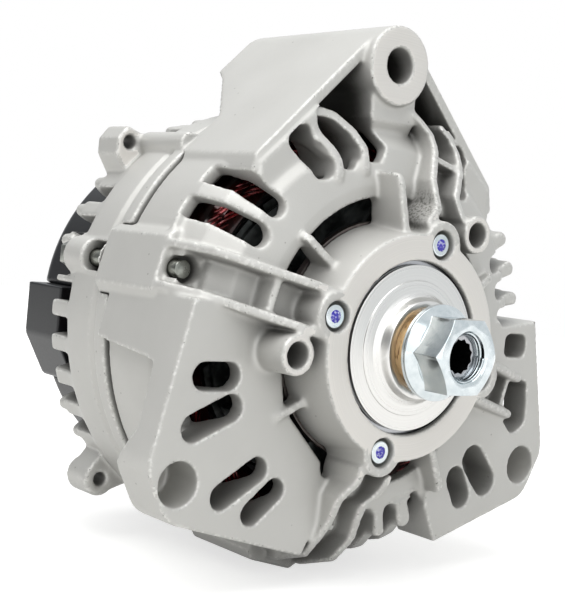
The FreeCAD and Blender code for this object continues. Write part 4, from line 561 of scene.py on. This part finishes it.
# Zinc-plated steel: pressed, cold-headed and turned pieces with a bright, faintly blue passivated coat.
# It has soft cloudy patches where the plating is thicker, and tiny dull scratches.
def zinc_plate(name, dark, light, roughness):
    """Bright zinc plating with a clear blue passivation."""
    material, tree = blank(name)
    place = add(tree, "ShaderNodeTexCoord").outputs["Object"]
    clouds = add(tree, "ShaderNodeTexNoise", [("Vector", place)], Scale=1 / (3 * MM), Detail=4)
    tone = add(tree, "ShaderNodeMapRange", [(0, clouds.outputs["Fac"])], [(1, 0.35), (2, 0.65)])
    colour = add(tree, "ShaderNodeMix", [(0, tone.outputs[0])],
                 [(6, linear(dark)), (7, linear(light))], data_type="RGBA")
    rough = add(tree, "ShaderNodeMapRange", [(0, clouds.outputs["Fac"])],
                [(1, 0.35), (2, 0.65), (3, roughness + 0.05), (4, roughness)])
    nicks = add(tree, "ShaderNodeTexNoise", [("Vector", place)], Scale=1 / (0.7 * MM), Detail=3)
    bump = add(tree, "ShaderNodeBump", [("Height", nicks.outputs["Fac"])], Strength=0.2, Distance=0.03 * MM)
    shader = add(tree, "ShaderNodeBsdfPrincipled", [
        ("Base Color", colour.outputs[2]),
        ("Roughness", rough.outputs[0]),
        ("Normal", bump.outputs[0]),
    ], Metallic=1.0)
    add(tree, "ShaderNodeOutputMaterial", [("Surface", shader.outputs[0])])
    return material


zinc = zinc_plate("zinc_plated_steel", "#c3cbce", "#d2d8da", 0.1)
dull_zinc = zinc_plate("dull_zinc_plated_steel", "#857d7a", "#9c9592", 0.34)
dress(["bearing_retainer", "eye_bush", "output_stud"], dull_zinc)


# Retainer screws: four M5 pan-head screws with a six-lobe socket, sunk into the hub face.
# They hold the plate behind the bearing, and blue thread-locking resin has run into their sockets.
SCREW_CIRCLE = 36 * MM
SCREW_ANGLES = (15, 105, 195, 285)
SCREW_SEAT_Y = 4 * MM
SCREW_HEAD = 2.6 * MM
SCREW_HEAD_R = 3.9 * MM
SCREW_SHANK_R = 2.5 * MM
SCREW_TIP_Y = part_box("retainer_screws")[1][1]
HEAD_ROUNDING = 0.6 * MM
LOBE_OUTER = 2.95 * MM
LOBE_INNER = 0.7        # how much closer the valleys between the lobes lie
LOBE_COUNT = 6
SOCKET_DEPTH = 1.7 * MM
DROP_Y = SCREW_SEAT_Y - SCREW_HEAD + 0.75 * MM
DROP_R = 2.9 * MM
DROP_SHAPE = (0.92, 0.42, 0.92)
DROP_UNEVEN = 0.12 * MM


def place_at(piece, angle, circle):
    """Sets a piece modelled on the axis at an angle, clockwise from straight up, on a circle."""
    only(piece)
    turn = math.radians(angle)
    piece.location = (circle * math.sin(turn), 0, circle * math.cos(turn))
    bpy.ops.object.transform_apply(location=True, rotation=True, scale=True)


def select_faces(piece, wanted):
    """Selects the faces whose centre and normal pass, in edit mode."""
    bpy.ops.mesh.select_all(action="DESELECT")
    bpy.ops.object.mode_set(mode="OBJECT")
    for face in piece.data.polygons:
        face.select = wanted(face.center, face.normal)
    bpy.ops.object.mode_set(mode="EDIT")


def on_crown(centre, normal):
    """The face in the middle of a screw head's front."""
    return normal.y < -0.99 and math.hypot(centre.x, centre.z) < 0.2 * MM


def under_head(centre, normal):
    """The flat face under a screw's head."""
    return normal.y > 0.99 and centre.y > SCREW_SEAT_Y - 0.1 * MM


def pan_screw(name):
    """A screw on the axis, with its head on the counterbore's bottom and a six-lobe socket in its crown."""
    middle = SCREW_SEAT_Y - SCREW_HEAD / 2
    bpy.ops.mesh.primitive_cylinder_add(vertices=48, radius=SCREW_HEAD_R, depth=SCREW_HEAD,
                                        location=(0, middle, 0), rotation=(math.radians(90), 0, 0))
    head = bpy.context.object
    head.name = name
    bpy.ops.object.transform_apply(location=True, rotation=True, scale=True)
    bpy.ops.object.mode_set(mode="EDIT")
    bpy.ops.mesh.select_mode(type="FACE")
    select_faces(head, lambda centre, normal: normal.y < -0.9)
    bpy.ops.mesh.bevel(offset=HEAD_ROUNDING, segments=4, affect="EDGES", profile=0.6)
    select_faces(head, on_crown)
    bpy.ops.mesh.inset(thickness=SCREW_HEAD_R - HEAD_ROUNDING - LOBE_OUTER)
    bpy.ops.mesh.select_mode(type="VERT")
    bpy.ops.object.mode_set(mode="OBJECT")
    rim = [v for v in head.data.vertices if v.select]
    for v in rim:
        angle = math.atan2(v.co.x, v.co.z)
        v.select = math.cos(LOBE_COUNT * angle) < -0.4
    bpy.ops.object.mode_set(mode="EDIT")
    bpy.ops.transform.resize(value=(LOBE_INNER, 1, LOBE_INNER), center_override=(0, 0, 0))
    bpy.ops.mesh.select_mode(type="FACE")
    select_faces(head, on_crown)
    bpy.ops.mesh.extrude_region_move(TRANSFORM_OT_translate={"value": (0, SOCKET_DEPTH, 0)})
    select_faces(head, under_head)
    bpy.ops.mesh.inset(thickness=SCREW_HEAD_R - SCREW_SHANK_R)
    bpy.ops.mesh.extrude_region_move(TRANSFORM_OT_translate={"value": (0, SCREW_TIP_Y - SCREW_SEAT_Y, 0)})
    bpy.ops.object.mode_set(mode="OBJECT")
    bpy.ops.object.shade_smooth_by_angle(angle=math.radians(35))
    return head


def resin_drop(name):
    """A thin uneven drop of resin that fills part of a screw's socket."""
    bpy.ops.mesh.primitive_uv_sphere_add(segments=24, ring_count=12, radius=DROP_R,
                                         location=(0, DROP_Y, 0))
    drop = bpy.context.object
    drop.name = name
    bpy.ops.object.transform_apply(location=True, rotation=True, scale=True)
    bpy.ops.object.mode_set(mode="EDIT")
    bpy.ops.mesh.select_all(action="SELECT")
    bpy.ops.transform.resize(value=DROP_SHAPE, center_override=(0, DROP_Y, 0))
    bpy.ops.transform.vertex_random(offset=DROP_UNEVEN, seed=3)
    bpy.ops.object.mode_set(mode="OBJECT")
    bpy.ops.object.shade_smooth()
    return drop


def locking_resin(name):
    """Cured anaerobic resin: glossy violet blue, with pale streaks that are partly milky thin resin and
    partly painted glints.
    """
    material, tree = blank(name)
    place = add(tree, "ShaderNodeTexCoord").outputs["Object"]
    streaks = add(tree, "ShaderNodeTexNoise", [("Vector", place)], Scale=1 / (1.1 * MM), Detail=3)
    # painted highlight: the pale streaks stand partly for milky thin resin and partly for white glints
    thin = add(tree, "ShaderNodeMapRange", [(0, streaks.outputs["Fac"])], [(1, 0.5), (2, 0.64)])
    colour = add(tree, "ShaderNodeMix", [(0, thin.outputs[0])],
                 [(6, linear("#3d35b4")), (7, linear("#c4c6ea"))], data_type="RGBA")
    shader = add(tree, "ShaderNodeBsdfPrincipled", [("Base Color", colour.outputs[2])],
                 Roughness=0.18, IOR=1.5)
    add(tree, "ShaderNodeOutputMaterial", [("Surface", shader.outputs[0])])
    return material


resin = locking_resin("blue_locking_resin")
for number, angle in enumerate(SCREW_ANGLES):
    screw = pan_screw("retainer_screw_%d" % (number + 1))
    place_at(screw, angle, SCREW_CIRCLE)
    finish_piece(screw, zinc, "stator", "zinc_plated_steel", "retainer_screws")
    drop = resin_drop("locking_resin_%d" % (number + 1))
    place_at(drop, angle, SCREW_CIRCLE)
    finish_piece(drop, resin, "stator", "zinc_plated_steel")


# Through-bolts: four long steel bolts that clamp both housings on the core.
# Their threaded ends show in the cups at the ends of the channels, darkened by oil.
BOLT_EDGE = 0.7 * MM
FLAT_ANGLE = math.radians(0.4)      # facets that lie this close to one plane are one face
SHARP_ANGLE = math.radians(28)      # an edge sharper than this is eased
SMOOTH_ANGLE = math.radians(40)     # an edge blunter than this is shaded as round


def eased(node, name, width, segments):
    """A copy of a turned or pressed piece with its sharp edges eased."""
    piece = merged_copy(node, name)
    modify(piece, "flats", "DECIMATE", decimate_type="DISSOLVE", angle_limit=FLAT_ANGLE)
    modify(piece, "easing", "BEVEL", width=width, segments=segments, limit_method="ANGLE",
           angle_limit=SHARP_ANGLE, use_clamp_overlap=True)
    only(piece)
    bpy.ops.object.shade_smooth_by_angle(angle=SMOOTH_ANGLE)
    return piece


oiled_steel = zinc_plate("oiled_steel", "#83857f", "#a6a8a1", 0.26)
bolts = eased("through_bolts", "housing_bolts", BOLT_EDGE, 2)
finish_piece(bolts, oiled_steel, "stator", "zinc_plated_steel", "through_bolts")


# Stator core: a stack of 0.5 mm electrical-steel sheets, dipped in insulating varnish.
# Only its dark striped edge shows, in the slit between the housings.
def varnished_stack(name, sheet):
    """Laminations under dark varnish: fine lines across the axis, drawn twice as wide as the sheets."""
    material, tree = blank(name)
    place = add(tree, "ShaderNodeTexCoord").outputs["Object"]
    along = add(tree, "ShaderNodeSeparateXYZ", [(0, place)])
    sheets = add(tree, "ShaderNodeMath", [(0, along.outputs["Y"])], [(1, sheet)], operation="PINGPONG")
    line = add(tree, "ShaderNodeMapRange", [(0, sheets.outputs[0])], [(1, 0), (2, sheet)])
    colour = add(tree, "ShaderNodeMix", [(0, line.outputs[0])],
                 [(6, linear("#1d1b1a")), (7, linear("#3b3835"))], data_type="RGBA")
    bump = add(tree, "ShaderNodeBump", [("Height", line.outputs[0])], Strength=0.4, Distance=0.1 * MM)
    shader = add(tree, "ShaderNodeBsdfPrincipled", [
        ("Base Color", colour.outputs[2]),
        ("Normal", bump.outputs[0]),
    ], Metallic=0.4, Roughness=0.42)
    add(tree, "ShaderNodeOutputMaterial", [("Surface", shader.outputs[0])])
    return material


lamination = varnished_stack("varnished_laminations", 1.0 * MM)
dress(["stator_core"], lamination)


# Stator winding: enamelled copper wire in the core's slots, its ends bent over in bundles and varnished.
# The dark red enamel shows through the air slots as bundles of slanting strands with sharp glints.
WIRE_R = 0.55 * MM
WIRE_BUNDLES = 36
WIRE_PITCH = 30         # degrees that one turn spans, three slots
SLOT_INNER = 58         # radius at which a wire enters its slot, in millimetres
COIL_REACH = 12.6       # how far a coil end stands out of the core, in millimetres
COIL_ENDS = (("front_coil_end", 51, -1), ("rear_coil_end", 89, 1))      # name, place of the core's end, side
WIRES = (               # degrees to the first, outer and inner radius, depth below the crest, unevenness
    (0.0, 68.2, 62.2, 0.2, 0.0),
    (1.7, 68.6, 63.0, 0.9, 0.5),
    (3.4, 68.0, 61.4, 0.0, 1.0),
    (5.1, 68.7, 62.6, 0.7, 0.2),
    (6.8, 68.3, 61.8, 0.3, 0.8),
    (8.5, 68.6, 62.4, 0.5, 0.4),
)


def enamelled_wire(name, dark, light):
    """Polyurethane enamel on copper under varnish: deep red brown, very glossy."""
    material, tree = blank(name)
    place = add(tree, "ShaderNodeTexCoord").outputs["Object"]
    runs = add(tree, "ShaderNodeTexNoise", [("Vector", place)], Scale=1 / (4 * MM), Detail=3)
    tone = add(tree, "ShaderNodeMapRange", [(0, runs.outputs["Fac"])], [(1, 0.35), (2, 0.65)])
    colour = add(tree, "ShaderNodeMix", [(0, tone.outputs[0])],
                 [(6, linear(dark)), (7, linear(light))], data_type="RGBA")
    shader = add(tree, "ShaderNodeBsdfPrincipled", [("Base Color", colour.outputs[2])],
                 Metallic=0.6, Roughness=0.16, Coat_Weight=0.6, Coat_Roughness=0.06)
    add(tree, "ShaderNodeOutputMaterial", [("Surface", shader.outputs[0])])
    return material


def bent_wires(name, end_y, towards):
    """One bundle of wires that leaves a slot, crosses the coil end and enters a slot further round."""
    curve = bpy.data.curves.new(name, "CURVE")
    curve.dimensions = "3D"
    curve.bevel_depth = WIRE_R
    curve.bevel_resolution = 1
    curve.resolution_u = 3
    for start, outer, inner, below, uneven in WIRES:
        steps = (       # share of the turn, radius, depth below the coil end's crest
            (0.00, outer - 1.5, 12.0),
            (0.04, outer, 8.0),
            (0.22, outer - 0.6, below + uneven + 1.2),
            (0.45, (outer + inner) / 2, below + uneven * 0.4),
            (0.75, inner - 2.0, below + uneven + 0.6),
            (0.96, SLOT_INNER - 0.8, 6.0),
            (1.00, SLOT_INNER, 12.0),
        )
        line = curve.splines.new("NURBS")
        line.points.add(len(steps) - 1)
        for point, (share, radius, depth) in zip(line.points, steps):
            angle = math.radians(start + share * WIRE_PITCH)
            y = end_y + towards * (COIL_REACH - depth)
            point.co = (radius * MM * math.sin(angle), y * MM, radius * MM * math.cos(angle), 1)
        line.order_u = 3
        line.use_endpoint_u = True
    bundle = bpy.data.objects.new(name, curve)
    bpy.context.scene.collection.objects.link(bundle)
    only(bundle)
    bpy.ops.object.convert(target="MESH")
    return bpy.context.object


def coil_end(name, end_y, towards):
    """All bundles of one coil end, each a turned copy of the first, as one piece."""
    first = bent_wires(name, end_y, towards)
    turned = [first]
    for number in range(1, WIRE_BUNDLES):
        only(first)
        bpy.ops.object.duplicate()
        copy = bpy.context.object
        copy.rotation_euler = (0, 2 * math.pi * number / WIRE_BUNDLES, 0)
        turned.append(copy)
    bpy.ops.object.select_all(action="DESELECT")
    for piece in turned:
        piece.select_set(True)
    bpy.context.view_layer.objects.active = first
    bpy.ops.object.transform_apply(location=True, rotation=True, scale=True)
    bpy.ops.object.join()
    whole = bpy.context.object
    whole.name = name
    bpy.ops.object.shade_smooth()
    return whole


wire_red = enamelled_wire("enamelled_copper_wire", "#4a0f0e", "#94262a")
wire_dark = enamelled_wire("varnished_coil", "#160807", "#3a0f0b")
dress(["stator_winding", "field_coil"], wire_dark)
for name, end_y, towards in COIL_ENDS:
    wires = coil_end(name, end_y, towards)
    finish_piece(wires, wire_red, "stator", "enamelled_copper")


# Rotor: forged claw poles with a thin black dip, a nylon bobbin, and stamped fans, blackened all over.
# Deep inside the housings they show as dark blades with soft grey edges.
def black_dip(name, dark, light):
    """Thin black lacquer over steel, worn to grey in soft streaks."""
    material, tree = blank(name)
    place = add(tree, "ShaderNodeTexCoord").outputs["Object"]
    wear = add(tree, "ShaderNodeTexNoise", [("Vector", place)], Scale=1 / (6 * MM), Detail=4)
    tone = add(tree, "ShaderNodeMapRange", [(0, wear.outputs["Fac"])], [(1, 0.4), (2, 0.75)])
    colour = add(tree, "ShaderNodeMix", [(0, tone.outputs[0])],
                 [(6, linear(dark)), (7, linear(light))], data_type="RGBA")
    grain = add(tree, "ShaderNodeTexNoise", [("Vector", place)], Scale=1 / (0.8 * MM), Detail=2)
    bump = add(tree, "ShaderNodeBump", [("Height", grain.outputs["Fac"])], Strength=0.2, Distance=0.05 * MM)
    shader = add(tree, "ShaderNodeBsdfPrincipled", [
        ("Base Color", colour.outputs[2]),
        ("Normal", bump.outputs[0]),
    ], Metallic=0.6, Roughness=0.3)
    add(tree, "ShaderNodeOutputMaterial", [("Surface", shader.outputs[0])])
    return material


dipped = black_dip("black_dipped_steel", "#2b2e2d", "#6c706f")
dress(["claw_pole_front", "claw_pole_rear", "fan_front", "fan_rear"], dipped)


# Bobbin and slip rings: natural nylon carries the field coil, and two copper rings run under the brushes.
# The nylon is warm and waxy, the copper is polished by the carbon.
def plain_nylon(name):
    """Unfilled nylon: warm off-white with a soft waxy sheen."""
    material, tree = blank(name)
    place = add(tree, "ShaderNodeTexCoord").outputs["Object"]
    flow = add(tree, "ShaderNodeTexNoise", [("Vector", place)], Scale=1 / (12 * MM), Detail=2)
    colour = add(tree, "ShaderNodeMix", [(0, flow.outputs["Fac"])],
                 [(6, linear("#d8cfb4")), (7, linear("#e8e1ca"))], data_type="RGBA")
    shader = add(tree, "ShaderNodeBsdfPrincipled", [("Base Color", colour.outputs[2])],
                 Roughness=0.42, IOR=1.53)
    add(tree, "ShaderNodeOutputMaterial", [("Surface", shader.outputs[0])])
    return material


nylon = plain_nylon("natural_nylon")
dress(["coil_bobbin"], nylon)
ring_copper = turned_metal("polished_copper", "#b9714c", "#d2906a", 0.25 * MM, 0.2)
dress(["slip_rings"], ring_copper)


# Spacer disc: a turned collar of bright steel in front of the bearing, on which a pulley bears.
# Fresh lathe rings make the light fan out over its flat rim and its hollow flank.
DISC_EDGE = 0.25 * MM
disc_steel = turned_metal("fresh_turned_steel", "#d0cfcd", "#e0dfdc", 0.8 * MM, 0.28, anisotropy=0.3)
disc = eased("spacer_disc", "spacer_disc_turned", DISC_EDGE, 2)
finish_piece(disc, disc_steel, "rotor", "turned_steel", "spacer_disc")


# Shaft sleeve: a tan paper-laminate tube on the bare shaft in the pulley's place, which keeps it from knocks.
# It is matt, with darker rubbed streaks round it.
def tan_tube(name):
    """Resin-bound paper: tan with brown streaks that run round the axis."""
    material, tree = blank(name)
    place = add(tree, "ShaderNodeTexCoord").outputs["Object"]
    drawn = add(tree, "ShaderNodeVectorMath", [(0, place)], [(1, (0.35, 1.6, 0.35))], operation="MULTIPLY")
    streaks = add(tree, "ShaderNodeTexNoise", [("Vector", drawn.outputs[0])], Scale=1 / (1.3 * MM), Detail=4)
    rubbed = add(tree, "ShaderNodeMapRange", [(0, streaks.outputs["Fac"])], [(1, 0.54), (2, 0.66)])
    clouds = add(tree, "ShaderNodeTexNoise", [("Vector", place)], Scale=1 / (6 * MM), Detail=2)
    base = add(tree, "ShaderNodeMix", [(0, clouds.outputs["Fac"])],
               [(6, linear("#e6bb84")), (7, linear("#fadcab"))], data_type="RGBA")
    colour = add(tree, "ShaderNodeMix", [(0, rubbed.outputs[0]), (6, base.outputs[2])],
                 [(7, linear("#8a5a35"))], data_type="RGBA")
    bump = add(tree, "ShaderNodeBump", [("Height", streaks.outputs["Fac"])], Strength=0.3, Distance=0.08 * MM)
    shader = add(tree, "ShaderNodeBsdfPrincipled", [
        ("Base Color", colour.outputs[2]),
        ("Normal", bump.outputs[0]),
    ], Roughness=0.5, IOR=1.5)
    add(tree, "ShaderNodeOutputMaterial", [("Surface", shader.outputs[0])])
    return material


dress(["shaft_sleeve"], tan_tube("tan_paper_laminate"))


# Pulley nut: a cold-formed M16 flange nut of zinc-plated steel, 24 mm across flats, at the shaft's end.
# Its flats are dull and grey, its flange and chamfers bright, with a thread deep inside.
NUT_EDGE = 0.35 * MM
THREAD_STEP = 1.275 * MM    # a little closer than the real 1.5 mm, so that two turns show
THREAD_TURNS = 2
THREAD_STEPS = 64
THREAD_CREST_R = 7.2 * MM
THREAD_HALF = 0.8 * MM
THREAD_START_Y = -23.2 * MM

nut = eased("pulley_nut", "pulley_flange_nut", NUT_EDGE, 3)
finish_piece(nut, zinc, "rotor", "zinc_plated_steel", "pulley_nut")

bpy.ops.mesh.primitive_circle_add(vertices=3, radius=THREAD_HALF, rotation=(0, 0, math.radians(90)),
                                  location=(THREAD_CREST_R + THREAD_HALF, THREAD_START_Y, 0))
thread = bpy.context.object
thread.name = "nut_thread"
bpy.ops.object.transform_apply(location=True, rotation=True, scale=True)
modify(thread, "turns", "SCREW", axis="Y", screw_offset=THREAD_STEP, iterations=THREAD_TURNS,
       steps=THREAD_STEPS, render_steps=THREAD_STEPS)
bpy.ops.object.mode_set(mode="EDIT")
bpy.ops.mesh.select_all(action="SELECT")
bpy.ops.mesh.fill_holes(sides=3)
bpy.ops.mesh.normals_make_consistent(inside=False)
bpy.ops.object.mode_set(mode="OBJECT")
finish_piece(thread, zinc, "rotor", "zinc_plated_steel")


# Rotor shaft: ground steel with an M16 thread and a splined socket in its end, which a key holds while the
# nut is turned. The socket's wall is coloured near-black as painted shade, where it lies in the shade of the
# nut.
SHAFT_EDGE = 0.6 * MM
SOCKET_END_Y = -6 * MM
SOCKET_REACH = 5.6 * MM     # everything nearer the axis than this, in the shaft's end, is the socket
SOCKET_OPENING = 1.2        # how much wider the socket is drawn


def near_axis(point, reach):
    """A point of the shaft's front end that lies within a reach of the axis."""
    return point.y < SOCKET_END_Y and math.hypot(point.x, point.z) < reach


def socket_wall(centre, normal):
    """A face of the drive socket's wall."""
    return near_axis(centre * MM, SOCKET_OPENING * SOCKET_REACH) and abs(normal.y) < 0.9


shaft = eased("rotor_shaft", "threaded_shaft", SHAFT_EDGE, 2)
bpy.ops.object.mode_set(mode="EDIT")
bpy.ops.mesh.select_mode(type="VERT")
bpy.ops.mesh.select_all(action="DESELECT")
bpy.ops.object.mode_set(mode="OBJECT")
for v in shaft.data.vertices:
    v.select = near_axis(v.co, SOCKET_REACH)
bpy.ops.object.mode_set(mode="EDIT")
bpy.ops.transform.resize(value=(SOCKET_OPENING, 1, SOCKET_OPENING), center_override=(0, 0, 0))
bpy.ops.object.mode_set(mode="OBJECT")
finish_piece(shaft, ground_steel, "rotor", "shaft_steel", "rotor_shaft")
# painted shade: a near-black copy of the plating on the socket's wall, deep in the nut's shade
socket_painted_shade = zinc_plate("socket_painted_shade_steel", "#161616", "#2b2b2a", 0.35)
machine(shaft, socket_painted_shade, socket_wall)


# Rectifier and terminal: aluminium heat sinks with pressed-in diodes, and the copper output stud's nut.
# They sit under the rear cover; only the stud comes out.
sink = turned_metal("stamped_aluminium", "#a9aaab", "#c3c4c4", 0.6 * MM, 0.35)
dress(["rectifier_negative_plate", "rectifier_positive_plate", "voltage_regulator"], sink)
nickel = zinc_plate("nickel_plated_copper", "#a39d92", "#c3bcae", 0.25)
dress(["negative_diodes", "positive_diodes"], nickel)
dress(["output_stud_nut"], zinc)


# Black mouldings: rear cover, plug socket, terminal insulator, brush holder and slip-ring insulator.
# Glass-filled nylon from an eroded mould, satin black.
COVER_VOXEL = 0.7 * MM
PLUG_VOXEL = 0.45 * MM
MOULD_PASSES = 5
MOULD_LIMIT = 90000
filled_nylon = moulded_black("glass_filled_nylon", "#0f1012", "#1d1e21", 0.36, 0.7 * MM, 0.05 * MM)
dress(["output_stud_insulator", "brush_holder", "slip_ring_insulator", "rectifier_spacers"], filled_nylon)
cover = merged_copy("rear_cover", "rear_cover_moulding")
soften(cover, COVER_VOXEL, MOULD_PASSES, MOULD_LIMIT)
finish_piece(cover, filled_nylon, "stator", "black_plastic", "rear_cover")
socket = merged_copy("connector_socket", "plug_socket_moulding")
soften(socket, PLUG_VOXEL, MOULD_PASSES, MOULD_LIMIT)
finish_piece(socket, filled_nylon, "stator", "black_plastic", "connector_socket")
dress(["cover_screws"], zinc)
grey_resin = moulded_black("grey_moulded_resin", "#4c4e50", "#626466", 0.45, 0.7 * MM, 0.05 * MM)
dress(["suppression_capacitor"], grey_resin)
dress(["connector_pins"], zinc_plate("tinned_brass", "#b7b09c", "#d8d2c0", 0.25))
carbon = moulded_black("pressed_carbon", "#1d1d1e", "#2f2f30", 0.5, 0.3 * MM, 0.03 * MM)
dress(["brush_1", "brush_2"], carbon)
